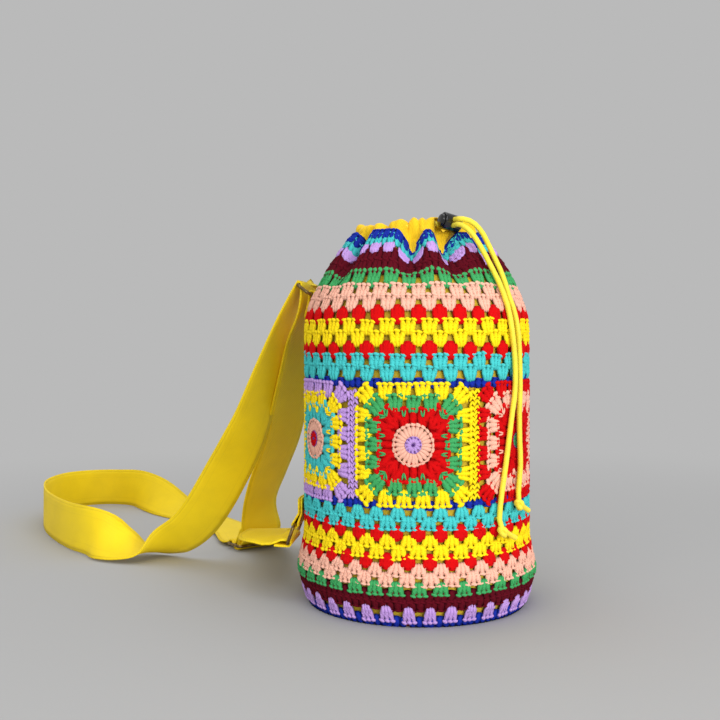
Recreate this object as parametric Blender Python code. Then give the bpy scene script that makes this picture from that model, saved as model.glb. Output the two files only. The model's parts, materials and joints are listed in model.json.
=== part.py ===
"""Crochet drawstring bag: granny squares, lining, cord lock and webbing sling.

Metres, +Z up. The origin is the middle of the base, on the floor. The front of
the bag looks along -Y. Angles round the bag are measured from the front towards
+X, so a point of the wall is (r sin a, -r cos a, z).
"""
import math

import bmesh
import bpy
from mathutils import Matrix, Vector

# Fit between neighbours, and yarn and cloth thicknesses
CLEARANCE = 0.0003
LAYER_CLEARANCE = 0.0008
LINING_GAP = 0.0013
CROCHET_THICKNESS = 0.0042
CLUSTER_RELIEF = 0.0016
LINING_THICKNESS = 0.0012

# Bag body
BODY_RADIUS = 0.100
FOOT_FLARE = 0.0055
FOOT_FLARE_HEIGHT = 0.032
FOOT_FLARE_SPREAD = 0.018
FOOT_TUCK = 0.004
FOOT_TUCK_HEIGHT = 0.020
NECK_RADIUS = 0.057
SHOULDER_DROP = 0.082
SHOULDER_POWER = 1.8
BASE_THICKNESS = 0.004
BASE_ROUNDS = 3
BASE_GROOVE = 0.009
BASE_EDGE = 0.001
SEAM_LIFT = 0.0004

# Crochet: one cluster is three long stitches, and each row is worked off the last
CLUSTERS_ROUND = 30
COLUMNS = 2 * CLUSTERS_ROUND
SQUARES_ROUND = 6
SQUARE_HEIGHT = 0.091
SQUARE_TURN = math.radians(-2)
WEDGE_WIDE = math.radians(0.9)
WEDGE_NARROW = math.radians(0.1)
LOWER_ROWS = (
    ("blue", 0.0080), ("lilac", 0.0080), ("maroon", 0.0070), ("maroon", 0.0070),
    ("green", 0.0065), ("pink", 0.0070), ("pink", 0.0070), ("red", 0.0070),
    ("yellow", 0.0075), ("yellow", 0.0075), ("red", 0.0075), ("turquoise", 0.0075),
    ("turquoise", 0.0075), ("blue", 0.0050),
)
UPPER_ROWS = (
    ("blue", 0.0060), ("turquoise", 0.0090), ("turquoise", 0.0090), ("red", 0.0095),
    ("yellow", 0.0095), ("yellow", 0.0095), ("red", 0.0100), ("pink", 0.0095),
    ("pink", 0.0095), ("green", 0.0115), ("maroon", 0.0090), ("maroon", 0.0090),
    ("lilac", 0.0070), ("turquoise", 0.0055), ("blue", 0.0055),
)
LOWER_OPEN_ROWS = (4, 7)
UPPER_OPEN_ROWS = (3, 6)
# Share of an open row's height that stays solid above and below its gaps
GAP_MARGIN = 0.14
SQUARE_COLOURS = (
    ("lilac", "pink", "red", "green", "yellow"),
    ("green", "red", "pink", "red", "red"),
    ("yellow", "turquoise", "maroon", "pink", "blue"),
    ("pink", "lilac", "blue", "yellow", "green"),
    ("turquoise", "yellow", "green", "lilac", "maroon"),
    ("red", "pink", "turquoise", "yellow", "lilac"),
)
SQUARE_SIDES = 24
# Each round of a square: share of the half side, squareness, depth, colour band
SQUARE_ROUNDS = (
    (0.24, 0.0, 0.0, 0), (0.36, 0.1, 1.0, 1), (0.50, 0.5, 0.2, 2),
    (0.60, 0.8, 1.0, 2), (0.74, 0.9, 0.0, 3), (0.83, 1.0, 0.9, 3),
    (0.96, 1.0, 0.2, 4), (1.00, 1.0, 0.9, 4),
)
SQUARE_GAP_ROUND = 6
SCALLOPED_SHARES = (0.4, 0.8)
HUB_SINK = 0.6
EDGE_RELIEF = 0.5

# Gathers at the neck: folds by their angle, with their depth and dip at the edge
FOLD_ANGLES = (-54, -7, 21, 54, 88, 124, 162, 200, 238, 272)
FOLD_HALF_WIDTH = math.radians(13)
FOLD_DEPTH = 0.012
FOLD_DIP = 0.015
LOBE_RISE = 0.0030
GATHER_START_DROP = 0.055

# Casing of folded lining cloth that holds the cord
CORD_DIAMETER = 0.0046
CASING_RADIUS = 0.0495
CASING_FOLD_DEPTH = 0.0045
CASING_TOP_RISE = 0.0148
CASING_LEG = 0.0132
ROOF_PITCH = math.radians(30)
CASING_WAVES = 16
CASING_WAVE = 0.0007
CASING_WAVE_RISE = 0.0012
LOCK_PRESS_IN = 0.0065
LOCK_PRESS_HALF_WIDTH = math.radians(34)
LOCK_PRESS_FULL = 0.8
CORD_EXIT_WIDTH = 0.0200
CORD_EXIT_HEIGHT = 0.0108
LOOP_INSET = 14

# Cord lock; its place is measured up from the wall's top edge
LOCK_PLACE = Vector((0.0262, -0.0492, 0.0077))
LOCK_AXIS = Vector((0.88, 0.42, -0.22)).normalized()
LOCK_HOLE = Vector((0.42, -0.905, -0.05))
BARREL_RADIUS = 0.0074
BARREL_LENGTH = 0.0162
BARREL_WALL = 0.0014
BARREL_EDGE = 0.0012
BARREL_FLOOR = 0.0015
BUTTON_STANDS_OUT = 0.0032
PLUNGER_TRAVEL = 0.0018
PLUNGER_SKIRT = 0.0008
# Domed button: share of the plunger's radius, and how far below its crown
BUTTON_DOME = ((0.0, 0.0), (0.55, 0.0003), (0.85, 0.0010), (1.0, 0.0022))
SLOT_ROUNDING = 0.8
TURNED_SIDES = 28
SPRING_STEPS = 10
SPRING_WIRE = 0.0006
SPRING_TURNS = 3

# Cord tails, measured up from the wall's top: free points, then angle and level on it
TAIL_STRAIGHT = 0.010
CORD_JOIN = 0.0012
LEFT_FREE = (
    (0.0405, -0.0672, -0.0010), (0.0475, -0.0675, -0.0110), (0.0535, -0.0665, -0.0215),
    (0.0585, -0.0660, -0.0310), (0.0628, -0.0665, -0.0395),
)
RIGHT_FREE = (
    (0.0435, -0.0640, 0.0062), (0.0522, -0.0625, -0.0035), (0.0590, -0.0605, -0.0170),
    (0.0645, -0.0600, -0.0285), (0.0690, -0.0610, -0.0390),
)
LEFT_WALL = (
    (45.0, -0.050), (45.5, -0.064), (46.5, -0.082), (49.0, -0.108), (49.0, -0.133),
    (46.5, -0.152), (44.0, -0.174), (42.0, -0.192), (38.8, -0.219), (37.6, -0.236),
)
RIGHT_WALL = (
    (49.0, -0.051), (49.8, -0.063), (51.5, -0.082), (53.2, -0.108), (53.6, -0.133),
    (52.8, -0.152), (53.2, -0.175), (54.0, -0.194), (52.0, -0.2155),
)
LEFT_KNOT = (38.4, -0.2465)
RIGHT_KNOT = (50.0, -0.2270)
KNOT_RADIUS = 0.0052
KNOT_TAIL = 0.0150
KNOT_SAG = 0.25
KNOT_NECK = 0.9
KNOT_TAPER = 0.95
CORD_STEP = 0.011
CORD_CLOSE_POINTS = 9

# Webbing sling and its fittings
WEBBING_WIDTH = 0.050
WEBBING_THICKNESS = 0.0016
WIRE = 0.0030
WIRE_SIDES = 8
MIDDLE_BAR = 0.9
RING_INSIDE = 0.0535
UPPER_RING_DEPTH = 0.0135
LOWER_RING_DEPTH = 0.0165
FRAME_CORNER = 0.0025
UPPER_RING_LEAN = math.atan2(0.60, 0.80)
LOWER_RING_LEAN = math.atan2(-0.94, 0.33)
UPPER_RING_TURN = math.atan2(-0.25, 0.968)
LOWER_RING_TURN = math.atan2(-0.10, 0.995)
SLIDER_PITCH = 0.0130
UPPER_ANCHOR_ANGLE = math.radians(-114)
UPPER_ANCHOR_DROP = 0.049
LOWER_ANCHOR_ANGLE = math.radians(-97)
LOWER_ANCHOR_HEIGHT = 0.0655
RING_STAND_OFF = 0.0062
TAB_WIDTH = 0.040
TAB_LENGTH = 0.022
TAB_SEAT = 0.0012
TAB_FOLD_SHARE = 0.45
SLIDER_PLACE = Vector((-0.1650, 0.2150, 0.0059))
SLIDER_ACROSS = Vector((0.80, 0.60, 0.0))
BUCKLE_TAIL = 0.020
BUCKLE_LEAN = math.atan2(0.47, 0.88)
BUCKLE_FOLD_SHARE = 0.45
BUCKLE_FOLD_SPREAD = 1.15
SLIDER_STEP = 0.48
# Angles at which the webbing is laid round the buckle's bar, the two rings and the tabs
BUCKLE_WRAP = (0, 45, 90, 135, 180)
UPPER_WRAP = (-10, 35, 80, 125, 160)
LOWER_WRAP = (10, 55, 100, 145, 180)
TAB_WRAP = (200, 150, 105, 60, 15, -30)
# Webbing before and after the lower ring's bar, in bar turns away from it and up
LOWER_ARRIVAL = (2.5, 1.05)
LOWER_FOLD = (2.5, -0.95)
LOWER_END = (4.8, -0.80)
# Bars of the rings as the stations below were laid out; the webbing follows them
UPPER_BAR_LAID = Vector((-0.0998, 0.0425, 0.2792))
LOWER_BAR_LAID = Vector((-0.1110, 0.0135, 0.0499))
FALL_FOLLOWS = 7
# Middle of the webbing and the way its width points, from the buckle up to the ring
STRAP_RISE = (
    ((-0.160, 0.204, 0.048), (0.62, 0.75, 0.10)),
    ((-0.148, 0.178, 0.084), (0.66, 0.72, 0.05)),
    ((-0.130, 0.139, 0.129), (0.64, 0.76, 0.00)),
    ((-0.118, 0.104, 0.177), (0.58, 0.81, 0.00)),
    ((-0.107, 0.074, 0.224), (0.48, 0.87, 0.00)),
    ((-0.0985, 0.0455, 0.258), (0.30, 0.954, 0.00)),
)
# From the ring down to the floor, round the loose loop and back to the buckle
STRAP_FALL = (
    ((-0.120, 0.052, 0.248), (0.28, 0.95, 0.05)),
    ((-0.135, 0.064, 0.205), (0.50, 0.86, 0.00)),
    ((-0.151, 0.080, 0.163), (0.60, 0.78, -0.10)),
    ((-0.163, 0.090, 0.134), (0.74, 0.64, -0.18)),
    ((-0.181, 0.108, 0.100), (0.82, 0.52, -0.26)),
    ((-0.204, 0.126, 0.061), (0.79, 0.48, -0.38)),
    ((-0.224, 0.137, 0.036), (0.67, 0.52, -0.53)),
    ((-0.247, 0.146, 0.020), (0.42, 0.66, -0.62)),
    ((-0.270, 0.152, 0.008), (0.12, 0.97, -0.20)),
    ((-0.298, 0.156, 0.014), (0.00, 0.87, 0.48)),
    ((-0.331, 0.166, 0.0258), (0.00, 0.25, 0.97)),
    ((-0.367, 0.203, 0.0260), (0.00, 0.06, 1.00)),
    ((-0.402, 0.257, 0.0260), (0.00, 0.00, 1.00)),
    ((-0.431, 0.318, 0.0260), (0.00, 0.00, 1.00)),
    ((-0.450, 0.388, 0.0260), (0.03, -0.03, 1.00)),
    ((-0.445, 0.455, 0.0258), (0.06, -0.12, 1.00)),
    ((-0.412, 0.491, 0.0255), (0.04, -0.20, 0.98)),
    ((-0.370, 0.488, 0.0250), (-0.02, -0.12, 0.98)),
    ((-0.330, 0.456, 0.0200), (0.25, 0.45, 0.85)),
    ((-0.288, 0.418, 0.0080), (0.55, 0.78, 0.30)),
    ((-0.245, 0.374, 0.0030), (0.68, 0.72, 0.04)),
    ((-0.202, 0.300, 0.0040), (0.76, 0.65, 0.00)),
)
# From the buckle over a low hump to the lower ring
STRAP_LINK = (
    ((-0.1480, 0.185, 0.0200), (0.93, 0.36, 0.00)),
    ((-0.1400, 0.150, 0.0320), (0.99, 0.10, 0.00)),
    ((-0.1365, 0.105, 0.0400), (1.00, 0.00, 0.00)),
    ((-0.1375, 0.070, 0.0440), (1.00, 0.00, 0.00)),
    ((-0.1385, 0.046, 0.0462), (0.97, 0.25, 0.00)),
    ((-0.1350, 0.027, 0.0485), (0.75, 0.66, 0.00)),
    ((-0.1240, 0.0158, 0.0502), (0.15, 0.99, 0.00)),
)

# Materials: colour, roughness, metallic
YARNS = {
    "blue": (0.012, 0.030, 0.300),
    "lilac": (0.480, 0.300, 0.680),
    "maroon": (0.085, 0.006, 0.016),
    "green": (0.040, 0.300, 0.090),
    "pink": (0.900, 0.520, 0.430),
    "red": (0.480, 0.006, 0.008),
    "yellow": (0.860, 0.620, 0.012),
    "turquoise": (0.060, 0.500, 0.500),
}
YARN_ROUGHNESS = 0.85
LINING_COLOUR = (0.700, 0.480, 0.020)
WEBBING_COLOUR = (0.880, 0.560, 0.005)
CORD_COLOUR = (0.880, 0.720, 0.030)
BLACK_PLASTIC = (0.010, 0.010, 0.010)
BRASS = (0.330, 0.220, 0.090)
STEEL = (0.600, 0.600, 0.600)


def clear_scene():
    """Remove the objects of the open scene."""
    for old in list(bpy.data.objects):
        bpy.data.objects.remove(old, do_unlink=True)


def finish_material(name, colour, roughness, metallic=0.0):
    """The material of that name, made at its first use."""
    known = bpy.data.materials.get(name)
    if known:
        return known
    made = bpy.data.materials.new(name)
    made.use_nodes = True
    shader = made.node_tree.nodes["Principled BSDF"]
    shader.inputs["Base Color"].default_value = (*colour, 1.0)
    shader.inputs["Roughness"].default_value = roughness
    shader.inputs["Metallic"].default_value = metallic
    return made


def yarn(name):
    """The material of one yarn."""
    return finish_material("yarn_" + name, YARNS[name], YARN_ROUGHNESS)


def place_mesh(name, bm, materials, twisted=False):
    """Close the mesh work: faces out, one object, its finishes in order."""
    if twisted:
        bmesh.ops.triangulate(bm, faces=bm.faces)
    bm.normal_update()
    bmesh.ops.recalc_face_normals(bm, faces=bm.faces)
    if bm.calc_volume(signed=True) < 0:
        bmesh.ops.reverse_faces(bm, faces=bm.faces)
    mesh = bpy.data.meshes.new(name)
    bm.to_mesh(mesh)
    bm.free()
    mesh.shade_smooth()
    mesh.set_sharp_from_angle(angle=math.radians(50))
    made = bpy.data.objects.new(name, mesh)
    bpy.context.collection.objects.link(made)
    for material in materials:
        mesh.materials.append(material)
    return made


def smooth_share(value, low, high):
    """0 below low, 1 above high, with a smooth rise between."""
    share = min(max((value - low) / (high - low), 0.0), 1.0)
    return share * share * (3 - 2 * share)


def polar(angle, radius, height):
    """Point at an angle round the bag."""
    return Vector((radius * math.sin(angle), -radius * math.cos(angle), height))


def outward(angle):
    """Level direction away from the bag's axis."""
    return Vector((math.sin(angle), -math.cos(angle), 0.0))


def sideways(angle):
    """Level direction round the bag."""
    return Vector((math.cos(angle), math.sin(angle), 0.0))


def angle_between(first, second):
    """Smallest angle between two directions round the bag."""
    return abs((first - second + math.pi) % (2 * math.pi) - math.pi)


# Heights up the wall follow from the rows
SQUARE_BOTTOM = sum(height for _, height in LOWER_ROWS)
SQUARE_TOP = SQUARE_BOTTOM + SQUARE_HEIGHT
WALL_TOP = SQUARE_TOP + sum(height for _, height in UPPER_ROWS)
SHOULDER = WALL_TOP - SHOULDER_DROP
GATHER_START = WALL_TOP - GATHER_START_DROP
LINING_DEPTH = CROCHET_THICKNESS + LINING_GAP
INSIDE_DEPTH = LINING_DEPTH + LINING_THICKNESS
CASING_TOP = WALL_TOP + CASING_TOP_RISE
CORD_HALF = CORD_DIAMETER / 2


def wall_radius(height):
    """Outer radius of the wall at a height, before it is gathered."""
    flare = (height - FOOT_FLARE_HEIGHT) / FOOT_FLARE_SPREAD
    radius = BODY_RADIUS + FOOT_FLARE * math.exp(-flare * flare)
    tuck = max(1 - height / FOOT_TUCK_HEIGHT, 0.0)
    radius -= FOOT_TUCK * tuck * tuck
    drawn_in = max((height - SHOULDER) / SHOULDER_DROP, 0.0)
    return radius - (BODY_RADIUS - NECK_RADIUS) * drawn_in ** SHOULDER_POWER


def fold_share(angle):
    """1 in the crease of a gather, 0 on the rounded lobes between gathers."""
    nearest = min(angle_between(angle, math.radians(fold)) for fold in FOLD_ANGLES)
    share = max(1 - nearest / FOLD_HALF_WIDTH, 0.0)
    return share * share * (3 - 2 * share)


def wall_point(angle, height, depth):
    """Point of the wall: where the stitch stands before and after gathering."""
    gathered = smooth_share(height, GATHER_START, WALL_TOP)
    crease = fold_share(angle)
    moved = LOBE_RISE * (1 - crease) - FOLD_DEPTH * crease
    radius = wall_radius(height) + gathered * moved - depth
    return polar(angle, radius, height - FOLD_DIP * gathered * crease)


def column_angle(column, lean):
    """Angle of a mesh column; lean widens the clusters and narrows the gaps."""
    step = 2 * math.pi / COLUMNS
    side = -1 if column % 2 == 0 else 1
    return SQUARE_TURN + (column + 0.5) * step + side * lean


def crochet_rings(rows, bottom, open_rows, pointing_up):
    """Outer rings of a worked wall, and the inner ring pairs of its open rows."""
    outer = []
    inner = []
    base = bottom
    for index, (colour, height) in enumerate(rows):
        top = base + height
        if index in open_rows:
            wide, narrow = WEDGE_WIDE, WEDGE_NARROW
            leans = (wide, narrow) if pointing_up else (narrow, wide)
            low, high = base + GAP_MARGIN * height, top - GAP_MARGIN * height
            outer.append((low, (0.0, 0.0), leans[0], colour, True))
            outer.append((high, (0.0, 0.0), leans[1], colour, False))
            inner.append((low, leans[0]))
            inner.append((high, leans[1]))
        else:
            relief = (0.0, CLUSTER_RELIEF) if index % 2 else (CLUSTER_RELIEF, 0.0)
            outer.append((base + 0.5 * height, relief, 0.0, colour, False))
        base = top
    return outer, inner


def worked_wall(name, rows, bottom, top, open_rows, pointing_up, inner_extra):
    """A crocheted wall: relief in rows of clusters, and gaps through its open rows."""
    outer, inner = crochet_rings(rows, bottom, open_rows, pointing_up)
    edge_relief = (CLUSTER_RELIEF * EDGE_RELIEF, CLUSTER_RELIEF * EDGE_RELIEF)
    outer.insert(0, (bottom, edge_relief, 0.0, rows[0][0], False))
    outer.append((top, edge_relief, 0.0, rows[-1][0], False))
    inner += [(bottom, 0.0), (top, 0.0)] + [(height, 0.0) for height in inner_extra]
    inner.sort()
    open_levels = {round(ring[0], 6) for ring in outer if ring[4]}
    bm = bmesh.new()
    palette = sorted({colour for colour, _ in rows})
    outer_rows = []
    for height, relief, lean, _, _ in outer:
        outer_rows.append([
            bm.verts.new(wall_point(column_angle(c, lean), height, relief[c % 2]))
            for c in range(COLUMNS)
        ])
    inner_rows = []
    for height, lean in inner:
        inner_rows.append([
            bm.verts.new(wall_point(column_angle(c, lean), height, CROCHET_THICKNESS))
            for c in range(COLUMNS)
        ])
    gap_rims = {}
    for side, levels, rings in (("outer", outer, outer_rows), ("inner", inner, inner_rows)):
        for index in range(len(rings) - 1):
            is_open = round(levels[index][0], 6) in open_levels
            colour = palette.index(outer[min(index + 1, len(outer) - 2)][3])
            for c in range(COLUMNS):
                n = (c + 1) % COLUMNS
                low, high = rings[index], rings[index + 1]
                corners = (low[c], low[n], high[n], high[c])
                if is_open and c % 2 == 1:
                    gap_rims.setdefault((round(levels[index][0], 6), c), {})[side] = corners
                    continue
                bm.faces.new(corners).material_index = colour if side == "outer" else 0
    for rims in gap_rims.values():
        close_gap(bm, rims["outer"], rims["inner"])
    for ends in ((outer_rows[0], inner_rows[0]), (outer_rows[-1], inner_rows[-1])):
        for c in range(COLUMNS):
            n = (c + 1) % COLUMNS
            bm.faces.new((ends[0][c], ends[0][n], ends[1][n], ends[1][c]))
    return place_mesh(name, bm, [yarn(colour) for colour in palette])


def close_gap(bm, front, back):
    """Wall the sides of one gap between its rim at the front and at the back."""
    for side in range(len(front)):
        n = (side + 1) % len(front)
        bm.faces.new((front[side], front[n], back[n], back[side]))


def square_outline(turn, share, squareness):
    """Point of a round of a square: a circle that grows into a square."""
    across, up = math.cos(turn), math.sin(turn)
    stretch = 1 / max(abs(across), abs(up))
    reach = share * (1 + squareness * (stretch - 1))
    return across * reach, up * reach


def granny_square(name, index):
    """One granny square, worked round by round from its middle, bent to the wall."""
    middle = SQUARE_TURN + index * 2 * math.pi / SQUARES_ROUND
    half_angle = math.pi / SQUARES_ROUND - CLEARANCE / 2 / BODY_RADIUS
    half_height = SQUARE_HEIGHT / 2 - CLEARANCE / 2
    middle_height = SQUARE_BOTTOM + SQUARE_HEIGHT / 2
    bm = bmesh.new()
    colours = SQUARE_COLOURS[index]

    def worked(share, squareness, depth, scallop):
        ring = []
        for side in range(SQUARE_SIDES):
            turn = 2 * math.pi * side / SQUARE_SIDES
            across, up = square_outline(turn, share, squareness)
            sunk = depth + (scallop if side % 2 else 0.0)
            place = (middle + across * half_angle, middle_height + up * half_height)
            ring.append(bm.verts.new(wall_point(*place, sunk)))
        return ring

    front = []
    for share, squareness, sunk, _ in SQUARE_ROUNDS:
        scalloped = SCALLOPED_SHARES[0] < share < SCALLOPED_SHARES[1] and sunk < EDGE_RELIEF
        scallop = CLUSTER_RELIEF * EDGE_RELIEF if scalloped else 0.0
        front.append(worked(share, squareness, sunk * CLUSTER_RELIEF, scallop))
    gap_inner = SQUARE_ROUNDS[SQUARE_GAP_ROUND - 1]
    gap_outer = SQUARE_ROUNDS[SQUARE_GAP_ROUND]
    back = [
        worked(SQUARE_ROUNDS[2][0], SQUARE_ROUNDS[2][1], CROCHET_THICKNESS, 0.0),
        worked(gap_inner[0], gap_inner[1], CROCHET_THICKNESS, 0.0),
        worked(gap_outer[0], gap_outer[1], CROCHET_THICKNESS, 0.0),
        worked(1.0, 1.0, CROCHET_THICKNESS, 0.0),
    ]
    hub = bm.verts.new(wall_point(middle, middle_height, CLUSTER_RELIEF * HUB_SINK))
    back_hub = bm.verts.new(wall_point(middle, middle_height, CROCHET_THICKNESS))
    for side in range(SQUARE_SIDES):
        n = (side + 1) % SQUARE_SIDES
        bm.faces.new((hub, front[0][side], front[0][n])).material_index = 0
        bm.faces.new((back_hub, back[0][n], back[0][side])).material_index = 0
        for ring in range(len(front) - 1):
            if ring + 1 == SQUARE_GAP_ROUND and side % 2:
                continue
            low, high = front[ring], front[ring + 1]
            band = bm.faces.new((low[side], low[n], high[n], high[side]))
            band.material_index = SQUARE_ROUNDS[ring + 1][3]
        for ring in range(len(back) - 1):
            if ring == 1 and side % 2:
                continue
            low, high = back[ring], back[ring + 1]
            bm.faces.new((low[side], high[side], high[n], low[n])).material_index = 1
        edge = bm.faces.new((front[-1][side], front[-1][n], back[-1][n], back[-1][side]))
        edge.material_index = len(colours) - 1
        if side % 2:
            rim = (front[SQUARE_GAP_ROUND - 1], front[SQUARE_GAP_ROUND])
            rear = (back[1], back[2])
            close_gap(
                bm,
                (rim[0][side], rim[0][n], rim[1][n], rim[1][side]),
                (rear[0][side], rear[0][n], rear[1][n], rear[1][side]),
            )
    return place_mesh(name, bm, [yarn(colour) for colour in colours])


def turned(name, profile, material, frame, segments=36):
    """Turn a profile of (radius, height) about Z, then stand it in a frame."""
    bm = bmesh.new()
    points = [bm.verts.new((radius, 0.0, height)) for radius, height in profile]
    edges = [bm.edges.new(pair) for pair in zip(points, points[1:])]
    bmesh.ops.spin(
        bm, geom=points + edges, cent=(0, 0, 0), axis=(0, 0, 1),
        angle=2 * math.pi, steps=segments, use_merge=True,
    )
    bmesh.ops.remove_doubles(bm, verts=bm.verts, dist=1e-6)
    bm.transform(frame)
    return place_mesh(name, bm, [material])


def make_base():
    """Flat crocheted base in rounds; its underside is what the bag stands on."""
    radius = fitted_radius(wall_radius(SEAM_LIFT) - CROCHET_THICKNESS)
    pitch = radius / (BASE_ROUNDS + 1)
    groove = BASE_GROOVE / 2
    profile = [(0.0, 0.0)]
    for number in range(1, BASE_ROUNDS + 1):
        profile.append((number * pitch - groove, 0.0))
        profile.append((number * pitch, CLUSTER_RELIEF * EDGE_RELIEF))
        profile.append((number * pitch + groove, 0.0))
    profile += [(radius - BASE_EDGE, 0.0), (radius, BASE_EDGE)]
    profile += [(radius, BASE_THICKNESS), (0.0, BASE_THICKNESS)]
    turned("crochet_base", profile, yarn("pink"), Matrix.Identity(4), CLUSTERS_ROUND)


def fitted_radius(inside):
    """Radius of a disc that turns freely inside a wall of flat-sided columns."""
    return inside * math.cos(math.pi / CLUSTERS_ROUND) - CLEARANCE


def bridge(bm, first, second):
    """Join two rings; where one is twice as fine as the other, its faces fan out."""
    coarse, fine = sorted((first, second), key=len)
    for c, corner in enumerate(coarse):
        following = coarse[(c + 1) % len(coarse)]
        if len(coarse) == len(fine):
            bm.faces.new((corner, following, fine[(c + 1) % len(fine)], fine[c]))
            continue
        middle = fine[2 * c + 1]
        bm.faces.new((corner, fine[2 * c], middle))
        bm.faces.new((corner, middle, following))
        bm.faces.new((following, middle, fine[(2 * c + 2) % len(fine)]))


def make_lining():
    """Cloth tube inside the crochet, sewn to a round cloth base."""
    floor = BASE_THICKNESS + CLEARANCE
    levels = [floor] + foot_levels() + [SHOULDER]
    levels += neck_levels() + [WALL_TOP]
    bm = bmesh.new()
    rings = []
    for depth, heights in ((LINING_DEPTH, levels), (INSIDE_DEPTH, levels[::-1])):
        for height in heights:
            stride = 1 if height > SHOULDER else 2
            rings.append([
                bm.verts.new(wall_point(column_angle(c, 0.0), height, depth))
                for c in range(0, COLUMNS, stride)
            ])
    for index, ring in enumerate(rings):
        bridge(bm, ring, rings[(index + 1) % len(rings)])
    cloth = finish_material("lining_cloth", LINING_COLOUR, 0.8)
    place_mesh("lining_wall", bm, [cloth])
    radius = fitted_radius(wall_radius(floor) - INSIDE_DEPTH)
    top = floor + LINING_THICKNESS
    profile = [(0.0, floor), (radius, floor), (radius, top), (0.0, top)]
    turned("lining_base", profile, cloth, Matrix.Identity(4), CLUSTERS_ROUND)


def foot_levels():
    """Heights at which the flared foot is ringed, inside and in the lining."""
    return [FOOT_FLARE_HEIGHT + FOOT_FLARE_SPREAD * share for share in (-0.9, 0.0, 1.1, 2.4)]


def neck_levels():
    """Heights at which the gathered neck is ringed, inside and in the lining."""
    return [GATHER_START + GATHER_START_DROP * share for share in (-0.08, 0.25, 0.55, 0.80)]


def lock_angle():
    """Angle of the cord lock round the bag."""
    return math.atan2(LOCK_PLACE.x, -LOCK_PLACE.y)


def lock_press(angle):
    """1 where the casing is pressed in behind the cord lock, 0 away from it."""
    away = angle_between(angle, lock_angle())
    return smooth_share(1 - away / LOCK_PRESS_HALF_WIDTH, 0.0, LOCK_PRESS_FULL)


def casing_radius(angle):
    """Middle of the casing: it follows the gathers and gives way to the cord lock."""
    pressed = lock_press(angle)
    wave = CASING_WAVE * math.cos(CASING_WAVES * angle) * (1 - pressed)
    gather = CASING_FOLD_DEPTH * fold_share(angle) * (1 - pressed)
    return CASING_RADIUS - gather + wave - LOCK_PRESS_IN * pressed


def casing_top(angle):
    """Height of the casing's top fold, which is level behind the cord lock."""
    rise = CASING_WAVE_RISE * (1 - lock_press(angle))
    return CASING_TOP + rise * math.sin(CASING_WAVES / 2 * angle)


def casing_halves():
    """Half widths of the casing's channel and of its cloth, over the cord."""
    inside = CORD_HALF + LAYER_CLEARANCE
    return inside, inside + LINING_THICKNESS


def channel_drop():
    """Depth of the cord's middle below the top fold of the casing."""
    return casing_halves()[1] / math.cos(ROOF_PITCH)


def casing_section():
    """Folded cloth, open below: (offset across, drop below the top), as a loop."""
    loop = []
    for half, way in zip(casing_halves()[::-1], (1, -1)):
        ridge = channel_drop() - half / math.cos(ROOF_PITCH)
        eave = channel_drop() - half * math.tan(ROOF_PITCH)
        side = [(half, CASING_LEG), (half, eave), (0.0, ridge), (-half, eave), (-half, CASING_LEG)]
        loop += side[::way]
    return loop


def make_casing():
    """Drawstring casing with one opening, where both ends of the cord come out."""
    section = casing_section()
    bm = bmesh.new()
    rings = []
    for c in range(COLUMNS):
        angle = column_angle(c, 0.0)
        middle, top = casing_radius(angle), casing_top(angle)
        rings.append([bm.verts.new(polar(angle, middle + x, top - drop)) for x, drop in section])
    for c, ring in enumerate(rings):
        following = rings[(c + 1) % COLUMNS]
        for p in range(len(section)):
            q = (p + 1) % len(section)
            bm.faces.new((ring[p], following[p], following[q], ring[q]))
    cloth = finish_material("casing_cloth", WEBBING_COLOUR, 0.8)
    casing = place_mesh("drawstring_casing", bm, [cloth])
    angle = lock_angle()
    front = casing_radius(angle) + casing_halves()[1]
    cut_box(
        casing, "cord_exit_cutter", polar(angle, front, cord_exit_height()),
        (outward(angle), sideways(angle), Vector((0, 0, 1))),
        (2 * casing_halves()[1], CORD_EXIT_WIDTH, CORD_EXIT_HEIGHT),
    )


def cord_exit_height():
    """Height at which the cords leave the casing."""
    return (lock_point(-BARREL_RADIUS)).z


def cut_box(target, name, centre, axes, size):
    """Subtract a box that stands along three axes."""
    bm = bmesh.new()
    bmesh.ops.create_cube(bm, size=1.0)
    frame = Matrix((axes[0], axes[1], axes[2])).transposed().to_4x4()
    bm.transform(Matrix.Translation(centre) @ frame @ Matrix.Diagonal((*size, 1.0)))
    cut_with(target, place_mesh(name, bm, []))


def cut_with(target, cutter):
    """Subtract one mesh from another."""
    cutter.hide_render = True
    cutter.display_type = "WIRE"
    cut = target.modifiers.new(cutter.name, "BOOLEAN")
    cut.operation = "DIFFERENCE"
    cut.object = cutter


def through(points, step):
    """Points at even steps along a smooth curve through the given ones."""
    curve = []
    for index in range(len(points) - 1):
        before = points[max(index - 1, 0)]
        start, end = points[index], points[index + 1]
        after = points[min(index + 2, len(points) - 1)]
        for part in range(12):
            curve.append(spline(before, start, end, after, part / 12))
    curve.append(points[-1].copy())
    lengths = [0.0]
    for first, second in zip(curve, curve[1:]):
        lengths.append(lengths[-1] + (second - first).length)
    count = max(int(round(lengths[-1] / step)), 2)
    out = []
    for number in range(count + 1):
        wanted = lengths[-1] * number / count
        place = next(i for i in range(1, len(lengths)) if lengths[i] >= wanted - 1e-9)
        span = lengths[place] - lengths[place - 1]
        share = (wanted - lengths[place - 1]) / span
        out.append(curve[place - 1].lerp(curve[place], share))
    return out


def spline(before, start, end, after, share):
    """Point of a smooth curve between start and end."""
    square, cube = share * share, share ** 3
    return 0.5 * (
        2 * start + (end - before) * share
        + (2 * before - 5 * start + 4 * end - after) * square
        + (3 * start - before - 3 * end + after) * cube
    )


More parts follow.
